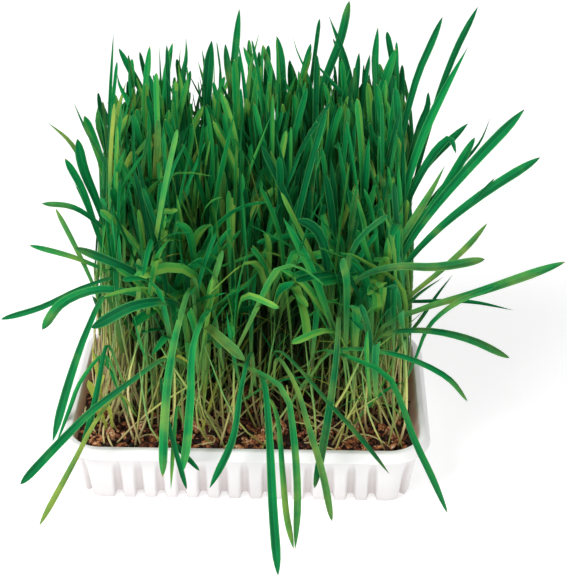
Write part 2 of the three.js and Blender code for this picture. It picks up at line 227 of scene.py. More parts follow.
def corner_columns(core, first_angle):
    """Columns that fan out round one corner of the core."""
    angles = [first_angle + QUARTER_TURN * i / (CORNER_COLUMNS - 1) for i in range(CORNER_COLUMNS)]
    return [(core, Vector((math.cos(a), math.sin(a)))) for a in angles]


def tray_columns():
    """Each column as (point on the core, outward direction), anticlockwise from the right side."""
    found = []
    corners = [Vector((x * CORE_X, y * CORE_Y)) for x, y in ((1, 1), (-1, 1), (-1, -1), (1, -1))]
    for i, core in enumerate(corners):
        angle = i * QUARTER_TURN
        outward = Vector((math.cos(angle), math.sin(angle)))
        found += straight_columns(corners[i - 1], core, outward)
        found += corner_columns(core, angle)
    return found


columns = tray_columns()
print(len(columns), "columns round the tray")

# %% [markdown]
# The flutes sit at a fixed pitch from the middle of each side, and one sits on the diagonal of each corner.
# Across a flute the wall goes in by a smooth step. Up the wall a flute gets shallower and, near its top,
# narrower, which rounds its end.

# %% How deep a flute is at a point of the wall
FLUTES_LONG = 13
FLUTES_SHORT = 7
FLUTE_FLOOR_HALF = 1.3 * MM
FLUTE_MOUTH_HALF = 3.3 * MM
FLUTE_FADE = 0.78
FLUTE_NARROWEST = 0.02
FOOT_RADIUS = OPENING_CORNER - WALL_TAPER
ARCH_HEIGHT = 2.7 * MM
ARCH_FLAT_HALF = 1.4 * MM
ARCH_MOUTH_HALF = 2.9 * MM
TINY = 1e-6


def clamp(value):
    """The value, kept from 0 to 1."""
    return min(max(value, 0.0), 1.0)


def smoothstep(value, start, end):
    """0 before start, 1 after end, and a smooth step between."""
    t = clamp((value - start) / (end - start))
    return t * t * (3 - 2 * t)


def nearest_flute(core, outward):
    """Distance along the foot of the wall from a column to the middle of the nearest flute."""
    if abs(outward.x) < TINY:
        along, count = core.x, FLUTES_LONG
    elif abs(outward.y) < TINY:
        along, count = core.y, FLUTES_SHORT
    else:
        angle = math.atan2(abs(outward.y), abs(outward.x))
        return abs(angle - QUARTER_TURN / 2) * FOOT_RADIUS
    last = (count - 1) / 2
    index = min(max(round(along / FLUTE_PITCH), -last), last)
    return abs(along - index * FLUTE_PITCH)


def flute_depth(distance, z):
    """How far the wall is pushed in at this distance from a flute's middle and this height."""
    rise = clamp(z / FLUTE_TOP)
    width = math.sqrt(max(1 - rise**5, 0.0))
    if width < FLUTE_NARROWEST:
        return 0.0
    across = 1 - smoothstep(distance / width, FLUTE_FLOOR_HALF, FLUTE_MOUTH_HALF)
    return FLUTE_DEPTH * (1 - FLUTE_FADE * rise) * across


def arch_height(distance):
    """How far the wall's lower edge is off the table: nothing under a foot, an arch under a flute."""
    return ARCH_HEIGHT * (1 - smoothstep(distance, ARCH_FLAT_HALF, ARCH_MOUTH_HALF))


print("flutes", round(flute_depth(0.0, 0.0) / MM, 1), "mm deep, arches", round(arch_height(0.0) / MM, 1))

# %% [markdown]
# The section is a list of rows from the middle of the underside, round the outside and over the rim, down
# into the cavity. Each row is a pair: how far it is out from the opening's edge, and its height. The rows of
# the outer wall also feel the flutes and arches, so they are made by a function of the column.

# %% The section of the tray
FOOT_RING = 4.8 * MM
CHANNEL = 13 * MM
SHEET = 1.1 * MM
WALL_ROWS = 26
WALL_ROW_CROWDING = 1.25
FOOT_EDGE = 0.3 * MM
FOOT_ROUNDING = 0.7 * MM
FOOT_ROUNDING_HEIGHT = 1.1 * MM


def wall_offset(z):
    """Offset of the outer wall from the opening's edge, without flutes."""
    return -WALL_TAPER + (WALL_TAPER + SHEET) * z / (TRAY_TOP - SHEET)


def cavity_offset(z):
    """Offset of the inner wall, which slopes in from the rim down to the tray's floor."""
    return -CAVITY_TAPER * (TRAY_TOP - z) / (TRAY_TOP - FLOOR_TOP)


def underside_rows(arch):
    """The flat rest in the middle, the channel round it and the inner side of the feet."""
    ring = -WALL_TAPER - FOOT_RING
    return [
        (ring - CHANNEL, 0.0),
        (ring - CHANNEL, ARCH_HEIGHT),
        (ring - FOOT_EDGE, ARCH_HEIGHT),
        (ring, 0.9 * ARCH_HEIGHT + 0.1 * arch),
        (ring + FOOT_EDGE, arch + 0.05 * MM),
    ]


def wall_rows(distance, arch):
    """The outer wall, with a rounded lower edge and its rows closer together near the table."""
    rows = []
    for i in range(WALL_ROWS):
        share = (i / (WALL_ROWS - 1)) ** WALL_ROW_CROWDING
        z = arch + (TRAY_TOP - SHEET - arch) * share
        rounding = FOOT_ROUNDING * (1 - smoothstep(z - arch, 0.0, FOOT_ROUNDING_HEIGHT))
        rows.append((wall_offset(z) - flute_depth(distance, z) - rounding, z))
    return rows


# Offset and height in millimetres: down the inside of the skirt, round its edge, up and over the lip.
RIM_PROFILE = [
    (1.7, 39.0), (2.4, 38.7), (3.6, 37.0), (5.2, 34.9), (5.5, 34.7), (6.1, 34.7), (6.4, 34.95), (6.3, 35.4),
    (5.0, 37.4), (3.9, 39.2), (3.5, 39.7), (2.9, 39.97), (2.3, 40.0), (0.9, 40.0), (0.3, 39.85), (0.0, 39.4),
]
RIM_ROWS = [(offset * MM, z * MM) for offset, z in RIM_PROFILE]
CAVITY_HEIGHTS = [37 * MM, 34 * MM, 31 * MM, 27 * MM, 20 * MM, 10 * MM, FLOOR_TOP]
CAVITY_ROWS = [(cavity_offset(z), z) for z in CAVITY_HEIGHTS]
print("the wall leans", round((wall_offset(TRAY_TOP) - wall_offset(0.0)) / MM, 1), "mm outwards")

# %% Helpers for meshes
def store_on_points(mesh, name, numbers):
    """One number for each point of the mesh, for its material or a tree to read."""
    mesh.attributes.new(name, "FLOAT", "POINT").data.foreach_set("value", numbers)


def new_piece(name, mesh):
    """A mesh as an object of the scene, at the origin."""
    piece = bpy.data.objects.new(name, mesh)
    bpy.context.scene.collection.objects.link(piece)
    return piece

# %% Build the tray's mesh
GROOVE_FULL = 20 * MM
SHARP_ANGLE = math.radians(50)


def section_at(core, outward):
    distance = nearest_flute(core, outward)
    arch = arch_height(distance)
    return underside_rows(arch) + wall_rows(distance, arch) + RIM_ROWS + CAVITY_ROWS


def grid_faces(column_count, row_count):
    """Quads between neighbouring columns and rows, and one flat face at each end of the section."""
    faces = []
    for c in range(column_count):
        near = c * row_count
        far = (c + 1) % column_count * row_count
        for r in range(row_count - 1):
            faces.append((near + r, far + r, far + r + 1, near + r + 1))
    total = column_count * row_count
    faces.append(tuple(reversed(range(0, total, row_count))))
    faces.append(tuple(range(row_count - 1, total, row_count)))
    return faces


def build_tray():
    points = []
    inside = []
    groove = []
    for core, outward in columns:
        section = section_at(core, outward)
        first_inner = len(section) - len(CAVITY_ROWS) - 1
        deepest = flute_depth(nearest_flute(core, outward), 0.0)
        for r, (offset, z) in enumerate(section):
            place = core + outward * (OPENING_CORNER + offset)
            points.append((*place, z))
            inside.append(1.0 if r >= first_inner else 0.0)
            groove.append(deepest / FLUTE_DEPTH * (1 - smoothstep(z, GROOVE_FULL, FLUTE_TOP)))
    mesh = bpy.data.meshes.new("tray_shell")
    mesh.from_pydata(points, [], grid_faces(len(columns), len(points) // len(columns)))
    store_on_points(mesh, "inside", inside)
    store_on_points(mesh, "groove", groove)
    mesh.shade_smooth()
    mesh.set_sharp_from_angle(angle=SHARP_ANGLE)
    return new_piece("tray_shell", mesh)


tray = build_tray()
print("tray", len(tray.data.polygons), "faces")

# %% [markdown]
# The plastic is white with a soft sheen. Three things keep it from looking like paint: the moulded skin is
# very slightly uneven, its grooves and its foot get less light and are painted greyer, as painted shade, and
# inside, above the soil, damp bark has stained it a pinkish brown, which also stands in for painted bounce
# light from the bark. The rim is painted lighter than the wall, a painted highlight. The stain and bounce are
# a mask from the height and from the attribute that marks the inner wall, broken up by noise.

# %% White plastic
# The rim's lighter white is a painted highlight, where the light falls on the lip.
PLASTIC_RIM_HIGHLIGHT = (0.93, 0.92, 0.915)
PLASTIC_WHITE = (0.82, 0.80, 0.805)
PLASTIC_SHADE = (0.60, 0.545, 0.54)
# Partly real stain and partly painted bounce light from the bark.
STAIN_AND_BOUNCE = (0.80, 0.48, 0.38)
FOOT_BAND = (0.0, 22 * MM)
TABLE_BAND = (0.0, 5 * MM)
RIM_HIGHLIGHT_BAND = (34 * MM, 35 * MM)
STAIN_AND_BOUNCE_BAND = (35 * MM, 41 * MM)
STAIN_AND_BOUNCE_WANDER = 9 * MM


def white_plastic():
    material, net, shader = new_material("white_plastic", roughness=0.38, ior=1.46)
    place = place_on_object(net)
    z = axis_of(place, 2)
    cloud = fine_noise(place, 60.0)
    foot = 1 - net.smooth(z, *FOOT_BAND)
    table = 1 - net.smooth(z, *TABLE_BAND)
    shade = net.attribute("groove") * 0.75 + foot * 0.35 + table * 0.3
    wall = net.blend(shade, PLASTIC_WHITE, PLASTIC_SHADE)
    # Painted highlight: the rim is lighter than the wall.
    body = net.blend(net.smooth(z, *RIM_HIGHLIGHT_BAND), wall, PLASTIC_RIM_HIGHLIGHT)
    edge = z + (cloud - 0.5) * STAIN_AND_BOUNCE_WANDER
    # Real stain and damp, and painted bounce light from the bark, on the inner wall above the soil.
    damp_and_bounce = (1 - net.smooth(edge, *STAIN_AND_BOUNCE_BAND)) * net.attribute("inside")
    connect(net.blend(damp_and_bounce * 0.85, body, STAIN_AND_BOUNCE), shader, "Base Color")
    connect(0.34 + cloud * 0.12 + damp_and_bounce * 0.3, shader, "Roughness")
    connect(bump(fine_noise(place, 900.0), 0.12, 0.2 * MM), shader, "Normal")
    return material


tray.data.materials.append(white_plastic())
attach(tray, "root")
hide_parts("tray")

# %% [markdown]
# ## The bed
#
# Below the chips lies a dark damp growing medium. It is hidden, so the frame's own solid stays and only gets
# a material. On it we lay a bumpy sheet that closes the gaps between the chips, because in the photograph
# those gaps are almost black. Its near-black is partly the medium's own dark colour and partly painted shade,
# the shade that falls deep between the chips. The sheet ends just off the tray's sloping wall, heaps up a
# little at the left end, and has a flat underside that makes it a closed body.

# %% Dark growing medium
# Near black: the medium's own colour and painted shade deep between the chips.
MEDIUM_DARK_AND_SHADED = (0.012, 0.007, 0.004)
MEDIUM_BROWN = (0.075, 0.035, 0.018)


def dark_medium():
    material, net, shader = new_material("dark_medium", roughness=0.95)
    lumps = fine_noise(place_on_object(net), 260.0, 6.0)
    connect(net.blend(lumps, MEDIUM_DARK_AND_SHADED, MEDIUM_BROWN), shader, "Base Color")
    connect(bump(lumps, 0.9, 1.2 * MM), shader, "Normal")
    return material


medium_finish = dark_medium()
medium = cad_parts["growing_medium"]
medium.data.materials.clear()
medium.data.materials.append(medium_finish)

# %% The sheet under the chips
BED_RINGS = 34
BED_FOOT = 24.2 * MM
BED_GAP = 0.5 * MM
BED_SINK = 0.6 * MM
BED_SWELL = 1.3 * MM
BED_LUMPS = 0.8 * MM
LEFT_HEAP = 3.5 * MM


def bed_height(x, y):
    """The height of the sheet: long swells, small lumps and the heap at the left end."""
    swell = noise.noise(Vector((x * 45, y * 45, 3.0)))
    lumps = noise.noise(Vector((x * 260, y * 260, 7.0)))
    heap = LEFT_HEAP * smoothstep(-x, 66 * MM, 90 * MM)
    return SOIL_TOP - BED_SINK + heap + BED_SWELL * swell + BED_LUMPS * lumps


def bed_edge(column, height):
    """Where the sheet ends on one of the tray's columns: just off the inner wall at this height."""
    core, outward = column
    return core + outward * (OPENING_CORNER + cavity_offset(height) - BED_GAP)


def build_bed():
    spokes = columns[::3]
    foot = [bed_edge(column, BED_FOOT) for column in spokes]
    heights = [bed_height(*place) for place in foot]
    edge = [bed_edge(column, height) for column, height in zip(spokes, heights)]
    count = len(spokes)
    points = [(0.0, 0.0, bed_height(0.0, 0.0))]
    for ring in range(1, BED_RINGS + 1):
        for place in edge:
            x, y = place * (ring / BED_RINGS)
            points.append((x, y, bed_height(x, y)))
    points += [(*place, BED_FOOT) for place in foot]
    faces = [(0, 1 + i, 1 + (i + 1) % count) for i in range(count)]
    for ring in range(BED_RINGS):
        near = 1 + ring * count
        far = near + count
        for i in range(count):
            j = (i + 1) % count
            faces.append((near + i, far + i, far + j, near + j))
    last = 1 + BED_RINGS * count
    faces.append(tuple(reversed(range(last, last + count))))
    mesh = bpy.data.meshes.new("bark_bed")
    mesh.from_pydata(points, [], faces)
    inner = [1.0] * (1 + (BED_RINGS - 2) * count) + [0.5] * count + [0.0] * (2 * count)
    store_on_points(mesh, "inner", inner)
    mesh.shade_smooth()
    return new_piece("bark_bed", mesh)


bed = build_bed()
bed.data.materials.append(medium_finish)
print("bed", len(bed.data.polygons), "faces")

# %% [markdown]
# ## Bark chips
#
# The chips are flakes of bark, most of them 2 to 8 mm long and a few up to 13 mm, in dark brown, red brown,
# tan and cream. Thousands of separate objects would be slow, so we model a handful of chips with few faces
# and let Geometry Nodes scatter them on the bed: it picks a chip for each point, turns and sizes it, and
# stores a random number on it that the material turns into a colour. Near the tray's wall the chips get
# smaller, so that none pokes through it.

# %% A handful of chips
CHIP_SIDES = 6
# Height and width of each ring of points, as shares of the flake's own.
CHIP_RINGS = [(-0.5, 0.6), (-0.15, 1.0), (0.25, 0.95), (0.5, 0.55)]
# Length, width and thickness in millimetres.
CHIP_SIZES = [(7, 3.2, 1.8), (5.4, 3.6, 2.2), (4.4, 2.6, 1.6), (3.4, 2.6, 2), (8, 2.2, 1.4), (2.6, 2, 1.6)]


def chip_mesh(name, rng, length, width, thickness):
    """An irregular flake: a six-sided outline, bevelled on both sides by smaller rings."""
    points = []
    for z, scale in CHIP_RINGS:
        for i in range(CHIP_SIDES):
            angle = 2 * math.pi * (i + rng.uniform(-0.25, 0.25)) / CHIP_SIDES
            reach = scale * rng.uniform(0.75, 1.15)
            x = reach * length / 2 * math.cos(angle)
            y = reach * width / 2 * math.sin(angle)
            points.append((x, y, (z + rng.uniform(-0.12, 0.12)) * thickness))
    top = (len(CHIP_RINGS) - 1) * CHIP_SIDES
    faces = []
    for near in range(0, top, CHIP_SIDES):
        far = near + CHIP_SIDES
        for i in range(CHIP_SIDES):
            j = (i + 1) % CHIP_SIDES
            faces.append((near + i, near + j, far + j, far + i))
    faces.append(tuple(reversed(range(CHIP_SIDES))))
    faces.append(tuple(range(top, top + CHIP_SIDES)))
    mesh = bpy.data.meshes.new(name)
    mesh.from_pydata(points, [], faces)
    return mesh


def chip_collection(name, seed):
    rng = random.Random(seed)
    group = bpy.data.collections.new(name)
    for i, size in enumerate(CHIP_SIZES):
        label = f"{name}_{i}"
        mesh = chip_mesh(label, rng, *[side * MM for side in size])
        group.objects.link(bpy.data.objects.new(label, mesh))
    return group


bark_shapes = chip_collection("bark_shape", seed=5)

# %% Start and finish a geometry tree
def tree_with_inputs(name, inputs):
    """An empty geometry tree with named inputs, given as (name, socket type, value)."""
    tree = bpy.data.node_groups.new(name, "GeometryNodeTree")
    tree.interface.new_socket("Geometry", in_out="INPUT", socket_type="NodeSocketGeometry")
    for label, kind, value in inputs:
        socket = tree.interface.new_socket(label, in_out="INPUT", socket_type=kind)
        if value is not None:
            socket.default_value = value
    tree.interface.new_socket("Geometry", in_out="OUTPUT", socket_type="NodeSocketGeometry")
    group_in = tree.nodes.new("NodeGroupInput")
    net = Net(tree)
    wires = {s.name: Wire(net, s) for s in group_in.outputs if s.name}
    return tree, net, wires


def finish_tree(geometry, material):
    net = geometry.net
    real = net.node("GeometryNodeRealizeInstances", {"Geometry": geometry})
    done = net.node("GeometryNodeSetMaterial", {"Geometry": real, "Material": material})
    net.node("NodeGroupOutput", {"Geometry": done})

# %% Random and stored values in a tree
RANDOM_KINDS = ["FLOAT_VECTOR", "FLOAT", "INT"]


def chance(seed, low, high, kind="FLOAT"):
    """A Random Value node, which has its own pair of sockets and output for each kind of value."""
    pair = RANDOM_KINDS.index(kind)
    sockets = {2 * pair: low, 2 * pair + 1: high, "Seed": seed}
    return seed.net.node("FunctionNodeRandomValue", sockets, output=pair, data_type=kind)


def stored(net, name, kind="FLOAT"):
    """What the geometry carries under this name."""
    return net.node("GeometryNodeInputNamedAttribute", {"Name": name}, data_type=kind)


def store(geometry, name, value, domain, kind="FLOAT"):
    """The geometry, which now carries a value under this name."""
    sockets = {"Geometry": geometry, "Name": name, "Value": value}
    kinds = {"domain": domain, "data_type": kind}
    return geometry.net.node("GeometryNodeStoreNamedAttribute", sockets, **kinds)

# %% Scatter the chips
CHIP_TILT = 0.9
CHIP_LIFT = 1.8 * MM
UPWARD = 0.3


def scatter_tree():
    tree, net, given = tree_with_inputs(
        "Scatter chips",
        [
            ("Shapes", "NodeSocketCollection", None),
            ("Chips per square metre", "NodeSocketFloat", 120000.0),
            ("Smallest", "NodeSocketFloat", 0.6),
            ("Largest", "NodeSocketFloat", 1.7),
            ("Seed", "NodeSocketInt", 11),
            ("Material", "NodeSocketMaterial", None),
        ],
    )
    seed = given["Seed"]
    upward = axis_of(net.node("GeometryNodeInputNormal"), 2) > UPWARD
    spread = {"Mesh": given["Geometry"], "Selection": upward, "Seed": seed}
    spread["Density"] = given["Chips per square metre"]
    points = net.node("GeometryNodeDistributePointsOnFaces", spread)
    lift = net.node("ShaderNodeCombineXYZ", {0: 0.0, 1: 0.0, 2: chance(seed + 4, 0.0, CHIP_LIFT)})
    lifted = net.node("GeometryNodeSetPosition", {"Geometry": points, "Offset": lift})
    share = chance(seed + 1, 0.0, 1.0)
    size = given["Smallest"] + (given["Largest"] - given["Smallest"]) * share * share
    least = (-CHIP_TILT, -CHIP_TILT, 0.0)
    most = (CHIP_TILT, CHIP_TILT, 6.28)
    shapes = net.node(
        "GeometryNodeCollectionInfo",
        {"Collection": given["Shapes"], "Separate Children": True, "Reset Children": True},
    )
    chips = net.node(
        "GeometryNodeInstanceOnPoints",
        {
            "Points": lifted,
            "Instance": shapes,
            "Pick Instance": True,
            "Instance Index": chance(seed + 2, 0, 99, "INT"),
            "Rotation": chance(seed, least, most, "FLOAT_VECTOR"),
            "Scale": size * (0.4 + stored(net, "inner") * 0.6),
        },
    )
    toned = store(chips, "tone", chance(seed + 3, 0.0, 1.0), "INSTANCE")
    finish_tree(toned, given["Material"])
    return tree

# %% [markdown]
# A tree does nothing until a modifier runs it. The helper below puts it on an object, sets each input by its
# socket's identifier, takes the evaluated result as a plain mesh and removes the modifier again. What is left
# is an ordinary piece. An input that isn't given keeps the tree's own value.

# %% Run a tree and keep the result
def run_tree(source, tree, values, name):
    """The mesh that a geometry tree makes from a source object, as a new plain object."""
    modifier = source.modifiers.new("nodes", "NODES")
    modifier.node_group = tree
    sockets = [s for s in tree.interface.items_tree if getattr(s, "in_out", "") == "INPUT"]
    for socket in sockets:
        if socket.name in values:
            modifier[socket.identifier] = values[socket.name]
    graph = bpy.context.evaluated_depsgraph_get()
    graph.update()
    mesh = bpy.data.meshes.new_from_object(source.evaluated_get(graph))
    source.modifiers.remove(modifier)
    mesh.name = name
    mesh.calc_loop_triangles()
    print(name, len(mesh.polygons), "faces,", len(mesh.loop_triangles), "triangles")
    return new_piece(name, mesh)

# %% Bark material
# The pale end of the ramp is reached mostly where the streak noise peaks: small painted glints on the chips.
BARK_TONES_AND_GLINTS = [
    (0.0, (0.006, 0.003, 0.002)),
    (0.30, (0.030, 0.009, 0.006)),
    (0.48, (0.14, 0.040, 0.020)),
    (0.66, (0.38, 0.12, 0.048)),
    (0.82, (0.64, 0.27, 0.09)),
    (0.94, (0.84, 0.54, 0.32)),
    (1.0, (0.92, 0.78, 0.62)),
]


def bark():
    material, net, shader = new_material("bark", roughness=0.8)
    grain_and_glints = fine_noise(place_on_object(net), 800.0, 4.0)
    # The streak noise is partly grain and partly painted glints.
    tone = net.attribute("tone") * 0.8 + (grain_and_glints - 0.46) * 1.3
    colour = net.node("ShaderNodeValToRGB", {"Fac": tone}, stops=BARK_TONES_AND_GLINTS)
    connect(colour, shader, "Base Color")
    connect(0.65 + grain_and_glints * 0.3, shader, "Roughness")
    connect(bump(grain_and_glints, 0.8, 0.7 * MM), shader, "Normal")
    return material


chips = run_tree(bed, scatter_tree(), {"Shapes": bark_shapes, "Material": bark()}, "bark_chips")
for piece in (bed, chips):
    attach(piece, "root")
    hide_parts("bark_cover")

# %% [markdown]
# ## How a leaf grows
#
# A wheat leaf leaves its stem almost upright, runs straight for most of its length and then bends under its
# own weight, sometimes gently and sometimes with a sharp fold. We grow each one as a guide: a chain of
# points whose direction turns from upright by an angle that follows a smooth step along the leaf.
#
# Each guide point carries what the sweep and the material need later: which way is across the blade, how
# wide it is there, how far along the leaf it is, and a tone and an age for the whole leaf. Stems are grown
# in the same way. They don't yellow, so their age says how deep in the stand they are, and their material
# paints them darker there, as painted shade where little light gets in.

# %% A guide for many leaves
class Guide:
    """Chains of points for the sweep, with the values stored on each point."""

    def __init__(self):
        self.points = []
        self.edges = []
        self.across = []
        self.values = {"width": [], "along": [], "tone": [], "age": []}

    def add(self, points, across, widths, tone, age):
        first = len(self.points)
        last = len(points) - 1
        self.points += [tuple(p) for p in points]
        self.edges += [(first + i, first + i + 1) for i in range(last)]
        for side in across:
            self.across += tuple(side)
        self.values["width"] += widths
        self.values["along"] += [i / last for i in range(last + 1)]
        self.values["tone"] += [tone] * (last + 1)
        self.values["age"] += [age] * (last + 1)

    def make(self, name):
        mesh = bpy.data.meshes.new(name)
        mesh.from_pydata(self.points, self.edges, [])
        mesh.attributes.new("across", "FLOAT_VECTOR", "POINT").data.foreach_set("vector", self.across)
        for label, numbers in self.values.items():
            store_on_points(mesh, label, numbers)
        return new_piece(name, mesh)

# %% The path of a growing leaf
STATIONS = [0, 0.14, 0.28, 0.42, 0.55, 0.67, 0.78, 0.87, 0.935, 0.97, 0.99, 1.0]
TIP_SHARE = 0.06


def direction(lean, heading):
    """A unit vector that leans from upright by an angle, towards a heading."""
    return Vector(
        (math.sin(lean) * math.cos(heading), math.sin(lean) * math.sin(heading), math.cos(lean))
    )


def grow(start, length, lean, heading, bend=0.2, bend_at=0.6, softness=0.5, drift=0.0, stations=STATIONS):
    """Points of a leaf that bends by an angle round a place along it, and drifts to one side."""
    points = [start.copy()]
    for near, far in zip(stations, stations[1:]):
        middle = (near + far) / 2
        turned = smoothstep(middle, bend_at - softness / 2, bend_at + softness / 2)
        way = direction(lean + bend * turned, heading + drift * middle)
        points.append(points[-1] + way * (length * (far - near)))
    return points


def blade_sides(points, twist_start, twist_end, facing=None):
    """For each point, the unit vector across the blade: level, or across the way it faces, then twisted."""
    sides = []
    last = len(points) - 1
    chord = points[-1] - points[0]
    level = Vector((-chord.y, chord.x, 0.0))
    if level.length < TINY:
        level = Vector((1.0, 0.0, 0.0))
    level.normalize()
    for i in range(len(points)):
        ahead = points[min(i + 1, last)] - points[max(i - 1, 0)]
        if facing:
            side = ahead.cross(facing)
        else:
            side = level - ahead * (level.dot(ahead) / ahead.length_squared)
        side.normalize()
        twist = twist_start + (twist_end - twist_start) * i / last
        side.rotate(Quaternion(ahead.normalized(), twist))
        sides.append(side)
    return sides


def blade_widths(width, base, tip_start, sharpness, stations=STATIONS, swell=(-0.1, 0.78)):
    """Half-widths along a blade: narrow at its sheath, widest in its outer half, then closing to its tip."""
    halves = []
    for t in stations:
        share = base + (1 - base) * smoothstep(t, *swell)
        tip = clamp((t - tip_start) / (1 - tip_start))
        share *= max((1 - tip * tip) ** sharpness, TIP_SHARE)
        halves.append(share * width / 2)
    return halves

# %% [markdown]
# ## Sweeping the blades
#
# One geometry tree turns every guide into a blade. It makes a small closed profile, a flattened diamond
# folded along its middle like a real leaf's midrib, and sweeps it along each chain with Curve to Mesh. The
# stored width scales the profile, and the stored direction sets which way the blade lies. The margins are
# marked sharp, so that the two thin faces don't shade into each other.

# %% The sweep
MARGIN_FROM = 0.9


def sweep_tree():
    tree, net, given = tree_with_inputs(
        "Sweep blades",
        [
            ("Corners", "NodeSocketInt", 4),
            ("Thickness", "NodeSocketFloat", 0.1),
            ("Fold", "NodeSocketFloat", 0.2),
            ("Material", "NodeSocketMaterial", None),
        ],
    )
    ring = net.node("GeometryNodeCurvePrimitiveCircle", {"Resolution": given["Corners"], "Radius": 1.0})
    place = net.node("GeometryNodeInputPosition")
    x = axis_of(place, 0)
    folded = axis_of(place, 1) * given["Thickness"] - (1 - abs(x)) * given["Fold"]
    flat = net.node("ShaderNodeCombineXYZ", {0: x, 1: folded, 2: 0.0})
    profile = net.node("GeometryNodeSetPosition", {"Geometry": ring, "Position": flat})
    marked = store(profile, "side", x, "POINT")
    chains = net.node("GeometryNodeMeshToCurve", {"Mesh": given["Geometry"]})
    across = stored(net, "across", "FLOAT_VECTOR")
    turned = net.node("GeometryNodeSetCurveNormal", {"Curve": chains, "Normal": across}, mode="FREE")
    swept = net.node(
        "GeometryNodeCurveToMesh",
        {"Curve": turned, "Profile Curve": marked, "Scale": stored(net, "width"), "Fill Caps": True},
    )
    smooth = net.node("GeometryNodeSetShadeSmooth", {"Geometry": swept, "Shade Smooth": True})
    margins = store(smooth, "sharp_edge", abs(stored(net, "side")) > MARGIN_FROM, "EDGE", "BOOLEAN")
    finish_tree(margins, given["Material"])
    return tree


blade_sweep = sweep_tree()
# A stem is a six-sided rod from the same tree.
ROUND_STEM = {"Corners": 6, "Thickness": 0.9, "Fold": 0.0}


def sweep(guide, name, material, **sizes):
    """Make one piece of all the blades in a guide. Sizes are the tree's inputs, where they differ."""
    source = guide.make(name + "_guide")
    piece = run_tree(source, blade_sweep, {"Material": material, **sizes}, name)
    bpy.data.objects.remove(source)
    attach(piece, "root")
    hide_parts("wheatgrass")

# %% [markdown]
# ## Leaf and stem materials
#
# A young wheat leaf is a saturated green with fine parallel veins and a paler midrib. Near its sheath it
# fades to yellow green, some tips have dried to straw, and no two leaves are quite the same green. One half
# of each blade is painted a little darker than the other, painted shade from its fold, and its margins are
# painted paler, partly their own colour and partly a painted highlight. A thin leaf also lets some light
# through, so a little Translucent shader is mixed in by a fixed share. Below the tops, in the middle of the
# stand, little light gets in; a mask from the place on the object darkens the leaves there as painted shade.
# The stems are straw-coloured at their foot and turn yellow green, then green, on the way up. At the left end
# of the stand they stay pale for longer, and deep in the stand they are painted darker, as painted shade.

# %% Leaf
LEAF_TONES = [
    (0.0, (0.000, 0.078, 0.028)),
    (0.3, (0.001, 0.170, 0.050)),
    (0.55, (0.004, 0.280, 0.068)),
    (0.75, (0.030, 0.345, 0.068)),
    (0.9, (0.100, 0.410, 0.064)),
    (1.0, (0.220, 0.480, 0.070)),
]
LEAF_RIB = (0.03, 0.48, 0.11)
LEAF_MARGIN_AND_HIGHLIGHT = (0.14, 0.60, 0.16)
LEAF_BASE = (0.22, 0.42, 0.10)
LEAF_DRY = (0.44, 0.50, 0.08)
LEAF_STRAW = (0.66, 0.60, 0.20)
LEAF_DEEP = (0.001, 0.040, 0.014)
LEAF_GLOW = (0.06, 0.50, 0.07, 1.0)
GLOW_SHARE = 0.16
VEINS = 34.0
DARK_FROM_FRONT = (-44 * MM, -8 * MM)
DARK_TO_BACK = (36 * MM, 56 * MM)
DARK_TO_ENDS = (66 * MM, 86 * MM)
DARK_TO_TOPS = (84 * MM, 156 * MM)


def leaf_material():
    material, net, shader = new_material("fresh_leaf", roughness=0.42, ior=1.42)
    shader.inputs["Specular IOR Level"].default_value = 0.08
    place = place_on_object(net)
    side, along, tone, age = (net.attribute(name) for name in ("side", "along", "tone", "age"))
    patches = fine_noise(place, 55.0)
    # Painted shade: one half of the blade, across the midrib, is a little darker, as where the fold turns it
    # from the light.
    half = (net.smooth(side, -0.12, 0.12) - 0.5) * 0.22
    shade = tone + half + (patches - 0.5) * 0.5
    green = net.node("ShaderNodeValToRGB", {"Fac": shade}, stops=LEAF_TONES)
    veins = (side * VEINS).sine()
    midrib = 1 - net.smooth(abs(side), 0.02, 0.14)
    lit = net.blend(midrib * 0.24 + veins * 0.09 + 0.06, green, LEAF_RIB)
    # Paler margins: partly the leaf's own colour and partly a painted highlight along its edges.
    edged = net.blend(net.smooth(abs(side), 0.7, 0.96) * 0.4, lit, LEAF_MARGIN_AND_HIGHLIGHT)
    sheath = 1 - net.smooth(along + (patches - 0.5) * 0.12, 0.0, 0.34)
    based = net.blend(sheath * 0.8, edged, LEAF_BASE)
    ageing = net.smooth(age * 1.2 + (patches - 0.5) * 0.55, 0.5, 1.0)
    aged = net.blend(ageing, based, LEAF_DRY)
    dry_tip = net.smooth(along, 0.95, 0.99) * net.smooth(tone, 0.25, 0.5)
    tipped = net.blend(dry_tip * 0.8, aged, LEAF_STRAW)
    x, y, z = (axis_of(place, axis) for axis in range(3))
    between = net.smooth(y, *DARK_FROM_FRONT) * (1 - net.smooth(y, *DARK_TO_BACK))
    deep = between * (1 - net.smooth(abs(x), *DARK_TO_ENDS)) * (1 - net.smooth(z, *DARK_TO_TOPS))
    connect(net.blend(deep * 0.62, tipped, LEAF_DEEP), shader, "Base Color")
    connect(0.36 + patches * 0.2 + ageing * 0.2, shader, "Roughness")
    connect(bump(veins, 0.35, 0.12 * MM), shader, "Normal")
    blade = Wire(net, shader.outputs[0])
    glow = net.node("ShaderNodeBsdfTranslucent", {"Color": LEAF_GLOW})
    mixed = net.node("ShaderNodeMixShader", {0: GLOW_SHARE, 1: blade, 2: glow})
    connect(mixed, net.tree.nodes["Material Output"], "Surface")
    return material


leaf_finish = leaf_material()

